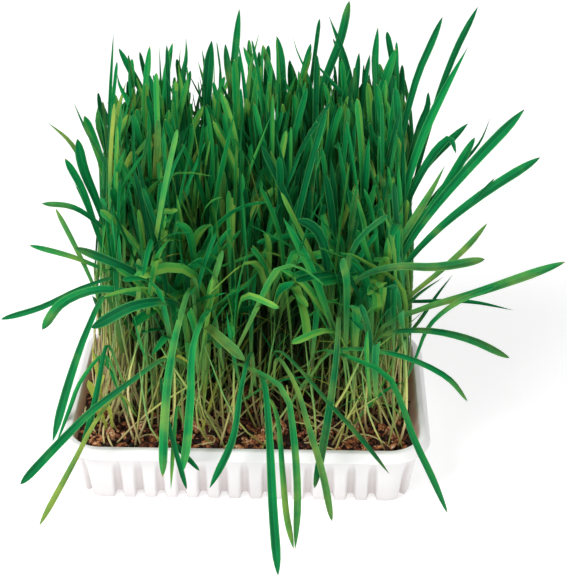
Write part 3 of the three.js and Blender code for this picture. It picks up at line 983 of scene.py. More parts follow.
# %% Stem
STEM_FOOT = (0.68, 0.58, 0.27)
STEM_PALE = (0.58, 0.60, 0.16)
STEM_GREEN = (0.10, 0.36, 0.07)
STEM_DEEP = (0.012, 0.035, 0.008)
STEM_DULL = (0.30, 0.28, 0.10)
STEM_RIBS = 12.0
LEFT_END = (-84 * MM, -50 * MM)
YELLOW_BAND = (28 * MM, 52 * MM)
GREEN_BAND = (44 * MM, 92 * MM)


def stem_material():
    material, net, shader = new_material("stem", roughness=0.45)
    place = place_on_object(net)
    tone = net.attribute("tone")
    left_end = 1 - net.smooth(axis_of(place, 0), *LEFT_END)
    rise = axis_of(place, 2) + (tone - 0.5) * (46 * MM) - left_end * (34 * MM)
    pale = net.blend(net.smooth(rise, *YELLOW_BAND), STEM_FOOT, STEM_PALE)
    green = net.blend(net.smooth(rise, *GREEN_BAND), pale, STEM_GREEN)
    dull = net.blend(tone * 0.25, green, STEM_DULL)
    # Painted shade: the stored age, which for stems is their depth in the stand, darkens them towards
    # STEM_DEEP.
    connect(net.blend(net.attribute("age") * 0.92, dull, STEM_DEEP), shader, "Base Color")
    ribs = (net.attribute("side") * STEM_RIBS).sine()
    connect(bump(ribs, 0.2, 0.1 * MM), shader, "Normal")
    return material


stem_finish = stem_material()

# %% [markdown]
# ## The stand
#
# The plants stand one to each cell of a grid, at a random place in it. Along the front they thin out in
# loose clumps, and the bark shows between them. Where a plant stands decides how it grows: at the back and in
# the middle it stands straight, and at the front it is shorter, with broad leaves that bend every way.

# %% Where the plants stand
PLANT_COLUMNS = 37
PLANT_ROWS = 18
PLANT_SPAN_X = 189 * MM
PLANT_SPAN_Y = 109 * MM
PLANT_MARGIN = 1.6 * MM
STRAGGLERS = 0.13


def inside_bed(x, y, margin):
    """The same point, drawn in until it is this far inside the bed's edge."""
    reach = OPENING_CORNER + cavity_offset(SOIL_TOP) - margin
    core = Vector((min(max(x, -CORE_X), CORE_X), min(max(y, -CORE_Y), CORE_Y)))
    out = Vector((x, y)) - core
    if out.length > reach:
        out = out.normalized() * reach
    return core + out


def plant_stays(rng, x, y):
    """Whether a plant grows here: only a few stragglers do in the strip of open bark along the front.

    The strip ends at about y = -27 mm, 24 mm further back in the middle and 12 mm further forward at the
    left end. Clumps of plants move that edge by up to 18 mm.
    """
    clump = noise.noise(Vector((x * 30, y * 30, 1.7)))
    middle = smoothstep(x, -50 * MM, -10 * MM) * smoothstep(-x, -66 * MM, -40 * MM)
    left_end = smoothstep(-x, 74 * MM, 86 * MM)
    edge = (-27 + 24 * middle - 12 * left_end + 18 * clump) * MM
    return rng.random() < STRAGGLERS + (1 - STRAGGLERS) * smoothstep(y, edge - 7 * MM, edge + 5 * MM)


def plant_places(rng):
    places = []
    for row in range(PLANT_ROWS):
        for column in range(PLANT_COLUMNS):
            x = ((column + rng.random()) / PLANT_COLUMNS - 0.5) * PLANT_SPAN_X
            y = ((row + rng.random()) / PLANT_ROWS - 0.5) * PLANT_SPAN_Y
            if plant_stays(rng, x, y):
                places.append(inside_bed(x, y, PLANT_MARGIN))
    return places

# %% [markdown]
# A real stand has a clear outline: apart from a few strays, its leaves hold each other upright. So every
# leaf is drawn from the random numbers again and again until it keeps inside the outline, and a leaf that
# never does is left out. The same test keeps leaves out of the tray's rim and wall.

# %% Keep inside the outline
OUTLINE_MIDDLE_X = 4 * MM
OUTLINE_HALF_X = 92 * MM
OUTLINE_HALF_AT = 100 * MM
OUTLINE_NARROWING = 0.095
FOOT_NARROWING = 0.22
OUTLINE_BUMPS = 9 * MM
BUMPS_ALONG_Y = 70
BUMPS_ALONG_Z = 25
END_IN_NOISE = 5.0
OUTLINE_FLARE = 0.11
OUTLINE_BACK = 63 * MM
OUTLINE_FRONT = -84 * MM
NEAR_RIM = 14 * MM
CLEAR_OF_RIM = TRAY_TOP + 6 * MM
POINTS_AT_FOOT = 3
TRIES = 14


def overshoot(points):
    """The furthest that a leaf reaches past the stand's outline or down at the rim."""
    worst = 0.0
    for point in points[POINTS_AT_FOOT:]:
        above = point.z - OUTLINE_HALF_AT
        narrowing = OUTLINE_NARROWING if above > 0 else FOOT_NARROWING
        half = OUTLINE_HALF_X - narrowing * above + OUTLINE_FLARE * point.y
        end = math.copysign(END_IN_NOISE, point.x)
        half += OUTLINE_BUMPS * noise.noise(Vector((end, point.y * BUMPS_ALONG_Y, point.z * BUMPS_ALONG_Z)))
        worst = max(worst, abs(point.x - OUTLINE_MIDDLE_X) - half)
        worst = max(worst, point.y - OUTLINE_BACK, OUTLINE_FRONT - point.y)
        if max(abs(point.x) - OPENING_X, abs(point.y) - OPENING_Y) > -NEAR_RIM:
            worst = max(worst, CLEAR_OF_RIM - point.z)
    return worst


def first_that_fits(draw):
    """Draw a leaf until it keeps inside the outline; None when it never does."""
    for _ in range(TRIES):
        points = draw()
        if overshoot(points) <= 0:
            return points
    return None

# %% What a plant's place decides
SWARD_TOP = 219 * MM
FALL_TO_FRONT = 70 * MM
FALL_TO_LEFT = 40 * MM


def front_share(x, y):
    """How much a plant is one of the short, tousled ones at the front, from 0 to 1."""
    return 0.75 * smoothstep(-y, -8 * MM, 32 * MM) * (0.15 + 0.85 * smoothstep(x, -60 * MM, -32 * MM))


def left_share(x, y):
    """How much a plant belongs to the tall bare stems at the left end, from 0 to 1."""
    return smoothstep(-x, 38 * MM, 72 * MM) * smoothstep(-y, -30 * MM, 10 * MM)


def inwards(x, y):
    """How deep in the stand a plant stands, from 0 at its edge to 1 where little light comes."""
    from_front = smoothstep(y, -42 * MM, -8 * MM)
    from_back = smoothstep(-y, -52 * MM, -30 * MM)
    from_ends = smoothstep(-abs(x), -86 * MM, -62 * MM)
    return min(from_front, from_back, from_ends)


def sward_top(x, y):
    """The stand's usual height, which falls off towards the front and at the left end."""
    to_front = smoothstep(-y, -40 * MM, 50 * MM)
    to_left = smoothstep(-x, 50 * MM, 94 * MM)
    return SWARD_TOP - (FALL_TO_FRONT * to_front + FALL_TO_LEFT * to_left)

# %% [markdown]
# A plant is a stem with its leaves. The youngest leaf goes on where the stem ends and makes the top of the
# stand; older ones leave the stem a little lower. Many plants at the front have broad leaves instead, which
# bend and fold over in any direction, mostly forward. Short narrow leaves grow low down and turn yellow
# first. Every size is drawn anew for each leaf, from a range that suits its kind.

# %% The leaves of an upright plant
FACING_LIGHT = Vector((0.0, -0.95, 0.3))
SHORTEST_MAIN_LEAF = 34 * MM


def any_heading(rng):
    return rng.uniform(-math.pi, math.pi)


def leaf_tone(rng, tone):
    """A leaf's tone, which keeps about half of what its plant's tone says."""
    return clamp(0.5 * tone + rng.gauss(0.25, 0.27))


def mixed_widths(rng, width):
    """The half-widths of a leaf whose tip is rounded, or now and then drawn out."""
    if rng.random() < 0.72:
        return blade_widths(width, 0.45, rng.uniform(0.89, 0.95), rng.uniform(0.45, 0.65))
    return blade_widths(width, 0.42, 0.68, 0.9)


def add_upright_leaf(draw, rng, guide, tone, twist, widths, fullness, oldest):
    """Draw an upright leaf, turned to the light within a twist, with a width range in millimetres."""
    points = first_that_fits(draw)
    if not points:
        return
    turn = rng.gauss(0.0, twist)
    sides = blade_sides(points, turn, turn + rng.uniform(-twist, twist), FACING_LIGHT)
    halves = mixed_widths(rng, rng.uniform(*widths) * fullness * MM)
    guide.add(points, sides, halves, leaf_tone(rng, tone), rng.random() * oldest)


def grow_main_leaf(stem, left, tone, rng, guide):
    """The youngest leaf, which goes on where the stem ends and reaches the top of the stand."""
    start = stem[-2].lerp(stem[-1], 0.5)

    def draw():
        top = sward_top(start.x, start.y) + rng.gauss(0, 14) * MM
        lean = abs(rng.gauss(0.03, 0.11))
        bend = abs(rng.gauss(0.10, 0.16))
        length = max(top - start.z, SHORTEST_MAIN_LEAF) / math.cos(lean + bend * 0.35)
        return grow(
            start, length, lean, any_heading(rng), bend=bend,
            bend_at=rng.uniform(0.5, 0.85), softness=0.5, drift=rng.uniform(-0.5, 0.5),
        )

    add_upright_leaf(draw, rng, guide, tone, 0.8, (2.5, 4.5), 1 - 0.2 * left, 0.46)


def grow_second_leaf(stem, front, left, tone, rng, guide):
    """An older leaf, which leaves the stem lower down and ends somewhere below the top."""
    start = stem[4].lerp(stem[6], rng.random())

    def draw():
        length = rng.uniform(58, 118) * (1 - 0.25 * front) * MM
        return grow(
            start, length, abs(rng.gauss(0.10, 0.09)), any_heading(rng),
            bend=abs(rng.gauss(0.12, 0.22)), bend_at=rng.uniform(0.45, 0.8),
            softness=rng.uniform(0.3, 0.7), drift=rng.uniform(-0.5, 0.5),
        )

    add_upright_leaf(draw, rng, guide, tone, 0.9, (2.2, 4.2), 1 - 0.25 * left, 0.6)

# %% Tousled and low leaves
FRONT_HEADING = -QUARTER_TURN


def grow_tousled_leaf(stem, tone, rng, guide):
    """A broad leaf of a front plant, bent or folded over in any direction, mostly forward."""
    start = stem[5].lerp(stem[6], rng.random())

    def draw():
        heading = FRONT_HEADING + rng.gauss(0.0, 1.3)
        return grow(
            start, rng.uniform(45, 98) * MM, abs(rng.gauss(0.22, 0.26)), heading,
            bend=rng.uniform(0.1, 1.6), bend_at=rng.uniform(0.45, 0.85),
            softness=rng.uniform(0.35, 0.7), drift=rng.uniform(-0.8, 0.8),
        )

    points = first_that_fits(draw)
    if not points:
        return
    turn = rng.uniform(-0.9, 0.9)
    sides = blade_sides(points, turn, turn + rng.uniform(-0.9, 0.9))
    halves = mixed_widths(rng, rng.uniform(3.5, 5.5) * MM)
    guide.add(points, sides, halves, leaf_tone(rng, tone + 0.3), rng.random() * 0.5)


def grow_low_leaf(stem, rng, guide):
    """A short narrow leaf from low on the stem; deep in the stand it is greener, and darker as painted shade.
    """
    lowest = stem[1] if stem[0].y > 5 * MM else stem[3]
    start = lowest.lerp(stem[5], rng.random())

    def draw():
        return grow(
            start, rng.uniform(30, 60) * MM, rng.uniform(0.15, 0.6), any_heading(rng),
            bend=rng.uniform(-0.2, 0.8), bend_at=0.6, softness=0.8,
        )

    points = first_that_fits(draw)
    if not points:
        return
    sides = blade_sides(points, rng.uniform(-0.5, 0.5), rng.uniform(-0.5, 0.5))
    halves = blade_widths(rng.uniform(1.8, 3.4) * MM, 0.4, 0.6, 1.0)
    # Deep in the stand the tone is lowered: painted shade where little light gets in.
    deep = smoothstep(start.y, -35 * MM, 5 * MM)
    tone = (0.6 + 0.4 * rng.random()) * (1 - 0.8 * deep)
    age = rng.random() * (1 - 0.5 * deep)
    guide.add(points, sides, halves, tone, age)

# %% One plant
STEM_STATIONS = [0, 0.12, 0.26, 0.42, 0.6, 0.8, 1.0]
STEM_TAPER = 0.06
PLANT_DEPTH = 4 * MM
LOW_LEAF_CHANCES = 3


def grow_plant(place, rng, stems, upright, tousled):
    x, y = place
    front = front_share(x, y)
    left = left_share(x, y)
    root = Vector((x, y, SOIL_TOP - PLANT_DEPTH))
    forward = smoothstep(-y, -5 * MM, 40 * MM)

    def draw():
        heading = FRONT_HEADING + any_heading(rng) * (1 - 0.6 * front)
        length = (rng.uniform(72, 104) - 26 * front + 26 * left) * MM
        lean = abs(rng.gauss(0.12 * front, 0.14 + 0.22 * forward))
        return grow(
            root, length, lean, heading, bend=rng.uniform(-1.6, 0.2) * lean,
            bend_at=0.45, softness=0.9, drift=rng.uniform(-0.9, 0.9), stations=STEM_STATIONS,
        )

    stem = first_that_fits(draw)
    if not stem:
        return
    thick = rng.uniform(1.05, 1.85) * MM
    halves = [thick / 2 * (1 - STEM_TAPER * i) for i in range(len(stem))]
    tone = rng.random()
    # The age slot carries the stem's depth in the stand, for its painted shade.
    stems.add(stem, blade_sides(stem, 0.0, 0.0), halves, tone, inwards(x, y))
    if rng.random() < front:
        for _ in range(rng.choice((3, 4, 5))):
            grow_tousled_leaf(stem, tone, rng, tousled)
    else:
        two = rng.random() < 0.6 * smoothstep(y, 8 * MM, 24 * MM)
        for _ in range(2 if two else 1):
            grow_main_leaf(stem, left, tone, rng, upright)
        for _ in range(rng.choice((1, 2, 3))):
            grow_second_leaf(stem, front, left, tone, rng, upright)
    for _ in range(LOW_LEAF_CHANCES):
        if rng.random() < 0.06 + 0.5 * smoothstep(y, -20 * MM, 30 * MM):
            grow_low_leaf(stem, rng, upright)

# %% [markdown]
# Not every plant does well. Thin weak leaves slant across the bare stems at the front, some stems there have
# slipped and lean on their neighbours, and late seedlings, still rolled up, stand among the taller stems at
# the back and close the gaps between them.

# %% Strays, weak stems and seedlings
SEEDLING_DEPTH = 3 * MM


def place_on_bed(rng, half_length, front, back, margin):
    """A random place on the bed, with every number in millimetres."""
    x = rng.uniform(-half_length, half_length)
    y = rng.uniform(front, back)
    return inside_bed(x * MM, y * MM, margin * MM)


def sideways(rng, mean, spread):
    """A heading more or less to the left or to the right."""
    return rng.choice((0.0, math.pi)) + rng.gauss(mean, spread)


def grow_stray(rng, guide):
    """A thin weak leaf that slants across the bare stems at the front."""
    place = place_on_bed(rng, 90, -50, -12, 4)
    start = Vector((*place, rng.uniform(34, 84) * MM))
    heading = sideways(rng, 0.0, 0.7)

    def draw():
        return grow(
            start, rng.uniform(30, 75) * MM, rng.uniform(0.35, 1.0), heading,
            bend=rng.uniform(-0.3, 0.8), bend_at=rng.uniform(0.3, 0.8), softness=0.7,
        )

    points = first_that_fits(draw)
    if not points:
        return
    sides = blade_sides(points, rng.uniform(-1.0, 1.0), rng.uniform(-1.0, 1.0))
    halves = blade_widths(rng.uniform(1.1, 2.4) * MM, 0.6, 0.5, 1.0)
    guide.add(points, sides, halves, rng.uniform(0.3, 1.0), rng.random())


def grow_weak_stem(rng, stems):
    """A thin stem at the front that has slipped and leans on its neighbours."""
    place = place_on_bed(rng, 92, -50, 0, 2)
    heading = sideways(rng, -0.1, 0.8)
    root = Vector((*place, SOIL_TOP - SEEDLING_DEPTH))

    def draw():
        return grow(
            root, rng.uniform(48, 105) * MM, rng.uniform(0.2, 0.85), heading,
            bend=rng.uniform(-0.7, 0.5), bend_at=rng.uniform(0.2, 0.7), softness=0.8,
            drift=rng.uniform(-0.9, 0.9), stations=STEM_STATIONS,
        )

    stem = first_that_fits(draw)
    if stem:
        thick = rng.uniform(0.45, 0.8) * MM
        halves = [thick * (1 - 0.75 * smoothstep(t, 0.7, 1.0)) for t in STEM_STATIONS]
        stems.add(stem, blade_sides(stem, 0.0, 0.0), halves, rng.random(), 0.0)


def grow_seedling(rng, stems):
    """A late seedling: one short shoot, still rolled up, among the taller stems at the back."""
    place = place_on_bed(rng, 90, 8, 57, 3)
    root = Vector((*place, SOIL_TOP - SEEDLING_DEPTH))

    def draw():
        return grow(
            root, rng.uniform(45, 98) * MM, abs(rng.gauss(0.0, 0.14)), any_heading(rng),
            bend=rng.uniform(-0.2, 0.4), softness=0.8,
        )

    shoot = first_that_fits(draw)
    if shoot:
        halves = blade_widths(rng.uniform(1.5, 2.6) * MM, 0.7, 0.8, 0.8)
        shade = 0.5 + 0.5 * inwards(*place)
        stems.add(shoot, blade_sides(shoot, 0.0, 0.0), halves, rng.random(), shade)

# %% Grow the stand
STAND_SEED = 20240
STRAYS = 85
WEAK_STEMS = 60
SEEDLINGS = 260

rng = random.Random(STAND_SEED)
stem_guide = Guide()
back_guide = Guide()
front_guide = Guide()
tousled_guide = Guide()
places = plant_places(rng)
for place in places:
    upright = back_guide if place.y > 0 else front_guide
    grow_plant(place, rng, stem_guide, upright, tousled_guide)
for _ in range(STRAYS):
    grow_stray(rng, tousled_guide)
for _ in range(WEAK_STEMS):
    grow_weak_stem(rng, stem_guide)
for _ in range(SEEDLINGS):
    grow_seedling(rng, stem_guide)
print(len(places), "places for plants")

sweep(stem_guide, "grass_stems", stem_finish, **ROUND_STEM)
sweep(back_guide, "back_leaves", leaf_finish)
sweep(front_guide, "front_leaves", leaf_finish)
sweep(tousled_guide, "tousled_leaves", leaf_finish)

# %% [markdown]
# Between the stems lie curled dry stems and roots, pale against the bark. They are guides like the leaves,
# but they lean well over from the start and wander round in a curl, and none of their points goes below the
# top of the soil.

# %% Curled stems on the bark
CURLS = 48
CURL_CLEARANCE = 0.8 * MM


def grow_curl(rng, guide):
    place = place_on_bed(rng, 88, -52, 30, 9)
    start = Vector((*place, SOIL_TOP + rng.uniform(1.0, 3.5) * MM))
    free = grow(
        start, rng.uniform(12, 38) * MM, rng.uniform(0.7, 1.4), any_heading(rng),
        bend=rng.uniform(0.3, 1.1), bend_at=0.5, softness=0.7, drift=rng.uniform(-2.0, 2.0),
    )
    points = []
    for point in free:
        inner = inside_bed(point.x, point.y, 3 * MM)
        points.append(Vector((*inner, max(point.z, SOIL_TOP + CURL_CLEARANCE))))
    thick = rng.uniform(0.35, 0.75) * MM
    halves = [thick * (1 - 0.6 * smoothstep(t, 0.8, 1.0)) for t in STATIONS]
    guide.add(points, blade_sides(points, 0.0, 0.0), halves, rng.random(), 0.0)


curl_guide = Guide()
for _ in range(CURLS):
    grow_curl(rng, curl_guide)
sweep(curl_guide, "curled_stems", stem_finish, **ROUND_STEM)

# %% [markdown]
# ## The long leaves
#
# Some leaves are much longer than the rest and give the stand its outline: a fan that leans out to the
# right, a few that tower at the back, and those that hang over the front rim and out to the left. A few are
# fading or have turned yellow. Chance would never put them in the right place, so each one is described by a
# few points: where it leaves the stand, where it bends and where its tip is, with its width and its tone. A
# smooth curve through the points gives the leaf.

# %% The long leaves, listed one by one
# Each row: points in millimetres from the stand to the tip, width in millimetres, tone.
FAN_RIGHT = [
    ([(82, 12, 110), (90, 22, 214), (95, 25, 233), (100, 26, 246), (106, 26, 263)], 4.2, 0.2),
    ([(84, 6, 110), (99, 14, 194), (107, 18, 226), (114, 20, 247), (124, 20, 271)], 3.6, 0.05),
    ([(82, 2, 100), (92, 5, 184), (99, 8, 206), (108, 9, 228), (119, 10, 252)], 5.0, 0.8),
    ([(84, 12, 110), (91, 18, 176), (97, 20, 204), (100, 20, 213), (100, 20, 222)], 4.0, 0.1),
    ([(78, 4, 100), (90, 10, 164), (100, 12, 181), (113, 12, 197), (122, 12, 207)], 4.6, 0.15),
    ([(80, 0, 100), (89, 3, 160), (98, 6, 181), (106, 6, 195), (112, 3, 202), (115, -3, 196)], 4.6, 0.4),
    ([(84, 10, 100), (97, 16, 146), (119, 20, 176), (131, 20, 194), (135, 20, 207)], 2.0, 0.15),
    ([(78, -4, 80), (90, -7, 139), (104, -9, 165), (122, -10, 191), (149, -10, 225)], 5.6, 0.55),
    ([(78, 2, 80), (90, 2, 139), (106, 2, 164), (117, 0, 187), (125, 0, 204)], 5.0, 0.6),
    ([(76, -6, 80), (86, -7, 142), (95, -8, 161), (103, -8, 177), (109, -8, 191)], 4.2, 0.9),
    ([(76, -10, 80), (88, -12, 128), (106, -14, 154), (130, -14, 177), (159, -14, 199)], 5.2, 0.5),
    ([(116, -14, 163), (126, -14, 173), (131, -14, 180), (136, -14, 187)], 1.8, 0.1),
    ([(54, -38, 110), (65, -46, 143), (80, -49, 150), (104, -50, 151), (129, -50, 156)], 5.0, 0.35),
    ([(68, -30, 70), (78, -34, 104), (100, -34, 116), (128, -32, 125), (152, -32, 135),
      (175, -32, 145)], 5.2, 0.75),
    ([(86, -22, 40), (97, -28, 80), (104, -34, 106), (117, -38, 122), (138, -38, 133)], 3.2, 0.7),
    ([(66, -12, 80), (80, -18, 109), (99, -20, 112), (128, -20, 112), (151, -20, 107)], 2.4, 0.1),
    ([(64, -30, 70), (78, -38, 101), (100, -40, 105), (124, -40, 100), (148, -42, 89)], 4.6, 0.4),
    ([(34, -44, 70), (50, -53, 99), (77, -58, 102), (98, -60, 96), (114, -61, 86),
      (124, -62, 73)], 3.8, 0.65),
    ([(78, -10, 40), (88, -15, 79), (99, -16, 97), (108, -16, 114), (116, -16, 127)], 2.2, 0.1),
    ([(70, -20, 50), (80, -22, 92), (96, -24, 118), (110, -24, 130)], 2.2, 0.5),
]
TALL_AT_THE_BACK = [
    ([(-11, 38, 120), (-10, 42, 212), (-8, 46, 230), (-5, 50, 258)], 4.4, 0.35),
    ([(36, 36, 120), (44, 43, 222), (51, 47, 240), (56, 48, 264)], 4.8, 0.35),
    ([(62, 36, 120), (58, 44, 214), (54, 46, 231), (45, 48, 255)], 4.6, 0.2),
    ([(74, 32, 120), (72, 38, 218), (71, 40, 231), (72, 42, 251)], 4.0, 0.5),
    ([(66, 22, 120), (71, 29, 207), (76, 32, 222), (82, 34, 242)], 5.4, 0.75),
    ([(12, 28, 120), (9, 34, 206), (4, 42, 221), (-3, 48, 237)], 3.8, 0.9),
    ([(37, 34, 120), (32, 42, 226), (27, 46, 236), (25, 48, 243)], 1.8, 0.7),
    ([(28, 36, 120), (30, 41, 220), (33, 46, 231), (35, 48, 239)], 3.4, 0.4),
    ([(23, 36, 120), (19, 44, 219), (18, 48, 231), (16, 50, 242)], 4.8, 0.3),
    ([(18, 32, 120), (13, 40, 223), (10, 44, 232), (8, 46, 239)], 4.0, 0.6),
    ([(-8, 34, 120), (-10, 40, 218), (-12, 44, 229), (-13, 46, 239)], 4.4, 0.15),
    ([(-27, 36, 120), (-24, 44, 210), (-23, 48, 223), (-21, 51, 239)], 6.0, 0.1),
    ([(-40, 32, 120), (-37, 40, 222), (-35, 44, 232), (-35, 46, 242)], 4.4, 0.5),
    ([(59, 34, 120), (61, 39, 224), (62, 42, 236)], 3.6, 0.2),
    ([(62, 34, 120), (66, 40, 222), (68, 42, 235)], 3.4, 0.15),
    ([(-2, 38, 120), (3, 45, 234), (6, 48, 245)], 2.8, 0.6),
    ([(-57, 36, 120), (-58, 44, 219), (-57, 48, 228), (-56, 50, 236)], 4.0, 0.8),
    ([(-49, 36, 120), (-47, 44, 220), (-45, 48, 230), (-43, 50, 238)], 4.2, 0.7),
    ([(-65, 34, 120), (-67, 40, 212), (-68, 44, 220), (-67, 46, 228)], 2.4, 0.4),
    ([(-58, 28, 120), (-68, 36, 208), (-73, 40, 216), (-74, 40, 223)], 4.2, 0.6),
]
FALLING_OVER_THE_FRONT = [
    ([(2, -44, 60), (8, -62, 92), (13, -85, 96), (16, -104, 74), (18, -119, 44), (21, -129, 4)], 5.2, 0.35),
    ([(-18, -44, 64), (-6, -58, 93), (11, -77, 99), (20, -86, 99), (26, -92, 91), (28, -96, 78),
      (31, -108, 40), (30, -112, 8)], 4.6, 0.6),
    ([(8, -46, 50), (15, -70, 78), (19, -86, 80), (23, -98, 45), (25, -103, 24), (29, -107, 4)], 3.6, 0.7),
    ([(16, -46, 70), (22, -74, 105), (29, -83, 97), (36, -90, 76), (44, -94, 48), (50, -96, 15)], 4.2, 0.45),
    ([(50, -44, 80), (52, -60, 124), (51, -72, 109), (48, -80, 82), (44, -84, 54), (40, -86, 30)], 4.6, 0.05),
    ([(12, -46, 70), (22, -66, 106), (33, -72, 97), (48, -80, 82), (66, -85, 62), (81, -88, 42)], 4.4, 0.25),
    ([(34, -46, 70), (42, -60, 104), (63, -72, 105), (79, -78, 99), (85, -84, 89), (93, -92, 69),
      (104, -97, 46), (113, -100, 25)], 6.0, 0.72),
    ([(-26, -44, 80), (-29, -60, 139), (-33, -68, 127), (-38, -76, 105), (-42, -82, 70),
      (-44, -86, 36)], 5.2, 0.62),
    ([(-12, -44, 80), (-19, -60, 128), (-24, -70, 120), (-28, -78, 80), (-31, -82, 51),
      (-34, -83, 36)], 5.2, 0.66),
    ([(-34, -56, 50), (-36, -70, 72), (-38, -80, 52), (-40, -84, 26)], 2.4, 1.0),
    ([(-44, -50, 60), (-45, -64, 86), (-43, -74, 81), (-36, -82, 48), (-31, -85, 27)], 3.0, 0.1),
    ([(-46, -52, 50), (-45, -66, 66), (-40, -76, 57), (-24, -81, 37)], 3.2, 0.15),
    ([(6, -46, 70), (4, -62, 102), (0, -74, 90), (-5, -81, 59), (-18, -86, 29)], 4.6, 0.3),
    ([(-30, -42, 80), (-22, -54, 116), (-10, -66, 113), (2, -75, 106)], 5.8, 0.3),
]
REACHING_LEFT = [
    ([(-26, -42, 76), (-43, -60, 97), (-60, -70, 89), (-83, -78, 73), (-98, -84, 59),
      (-123, -88, 31)], 4.8, 0.25),
    ([(-70, -28, 80), (-78, -36, 122), (-88, -40, 102), (-97, -40, 78), (-106, -40, 50),
      (-113, -40, 26)], 5.8, 0.4),
    ([(-70, -44, 60), (-79, -54, 94), (-89, -62, 84), (-97, -65, 65), (-106, -68, 42)], 2.6, 0.85),
    ([(-68, -46, 70), (-75, -58, 103), (-79, -68, 85), (-85, -74, 61), (-89, -77, 50)], 3.6, 0.3),
    ([(-56, -28, 110), (-70, -36, 134), (-88, -40, 130), (-112, -42, 118), (-135, -42, 110)], 3.4, 0.3),
    ([(-30, -36, 110), (-52, -45, 127), (-79, -51, 135), (-98, -54, 128), (-110, -54, 111)], 5.4, 0.45),
    ([(-26, -44, 112), (-42, -66, 137), (-55, -72, 138), (-79, -76, 126)], 6.6, 0.02),
    ([(-60, -10, 110), (-77, -16, 126), (-94, -20, 137), (-120, -20, 145)], 3.2, 0.75),
    ([(-30, -38, 110), (-45, -49, 136), (-64, -57, 153), (-87, -61, 166)], 4.8, 0.08),
    ([(-66, -4, 120), (-82, -8, 152), (-96, -10, 164), (-113, -10, 166)], 3.2, 0.4),
    ([(-78, -16, 80), (-87, -18, 121), (-95, -18, 144), (-104, -18, 167)], 3.2, 0.6),
    ([(-74, 6, 90), (-87, 12, 136), (-93, 12, 156), (-98, 12, 168)], 2.2, 0.3),
    ([(-74, 0, 120), (-85, 4, 162), (-91, 4, 182), (-93, 4, 199)], 5.8, 0.5),
    ([(-82, 6, 140), (-92, 12, 180), (-99, 12, 194), (-110, 12, 205)], 2.6, 0.4),
    ([(-74, -4, 100), (-87, 0, 152), (-92, 0, 171), (-100, 0, 189)], 4.2, 0.6),
    ([(-68, 0, 120), (-79, 3, 187), (-88, 6, 203), (-94, 6, 220)], 2.2, 0.25),
    ([(-72, 10, 120), (-81, 16, 174), (-87, 20, 193), (-91, 20, 206)], 4.8, 0.98),
    ([(-72, 14, 120), (-80, 24, 186), (-84, 26, 200), (-82, 26, 214)], 5.8, 0.85),
]
# One droops low at the front left, one stands in the fan, and both are losing their green.
FADING = [
    ([(-62, -48, 50), (-70, -66, 76), (-82, -80, 65), (-89, -90, 54), (-112, -100, 12)], 3.4, 0.95),
    ([(76, -20, 70), (89, -25, 114), (109, -26, 136), (123, -26, 152), (132, -26, 165)], 3.6, 0.95),
]
# Short yellow leaves in the front left corner.
YELLOWED = [
    ([(-80, -44, 38), (-84, -46, 58), (-88, -48, 74)], 4.0, 0.9),
    ([(-84, -40, 40), (-86, -42, 54), (-82, -44, 70), (-79, -45, 76)], 3.0, 1.0),
    ([(-76, -46, 40), (-80, -50, 60), (-86, -52, 62)], 3.4, 0.8),
    ([(-82, -36, 44), (-84, -38, 70), (-86, -40, 92)], 2.2, 0.9),
]

# %% Grow the long leaves
def through(points, shares):
    """Points at these shares of the length of a smooth curve through a few points."""
    spans = [(far - near).length for near, far in zip(points, points[1:])]
    chords = [(far - near) / span for near, far, span in zip(points, points[1:], spans)]
    ways = [chords[0]]
    for i in range(1, len(chords)):
        before, after = spans[i - 1], spans[i]
        ways.append((chords[i - 1] * after + chords[i] * before) / (before + after))
    ways.append(chords[-1])
    found = []
    for share in shares:
        rest = share * sum(spans)
        i = 0
        while i < len(spans) - 1 and rest > spans[i]:
            rest -= spans[i]
            i += 1
        t = min(rest / spans[i], 1.0)
        bulge = t * (1 - t) * spans[i]
        found.append(
            points[i].lerp(points[i + 1], t * t * (3 - 2 * t))
            + (ways[i] * (1 - t) - ways[i + 1] * t) * bulge
        )
    return found


LONG_STATIONS = [i / 16 for i in range(14)] + [0.86, 0.9, 0.94, 0.965, 0.985, 1.0]
NARROW = 3
FACING_FRONT = Vector((0.0, -0.8, 0.6))


def grow_long_leaves(rows, rng, guide, facing=None, ages=(0.38, 0.56), tone_scale=0.72):
    """A blade for each row. The tone scale multiplies the tones: the lower it is, the darker the green."""
    for places, width, tone in rows:
        points = through([Vector(p) * MM for p in places], LONG_STATIONS)
        turn = rng.uniform(-0.3, 0.3)
        sides = blade_sides(points, turn, turn + rng.uniform(-0.4, 0.4), facing)
        if width < NARROW or rng.random() < 0.15:
            halves = blade_widths(width * MM, 0.4, 0.68, 1.0, LONG_STATIONS)
        else:
            tip_start = rng.uniform(0.84, 0.92)
            sharpness = rng.uniform(0.55, 0.9)
            halves = blade_widths(width * MM, 0.4, tip_start, sharpness, LONG_STATIONS, swell=(0.1, 0.86))
        # Turning half the blades over flips their fold and which half has the painted shade.
        if rng.random() < 0.5:
            sides = [-side for side in sides]
        age = rng.uniform(*ages) * (0.85 + 0.15 * smoothstep(tone, 0.1, 0.5))
        guide.add(points, sides, halves, tone * tone_scale, age)


long_guide = Guide()
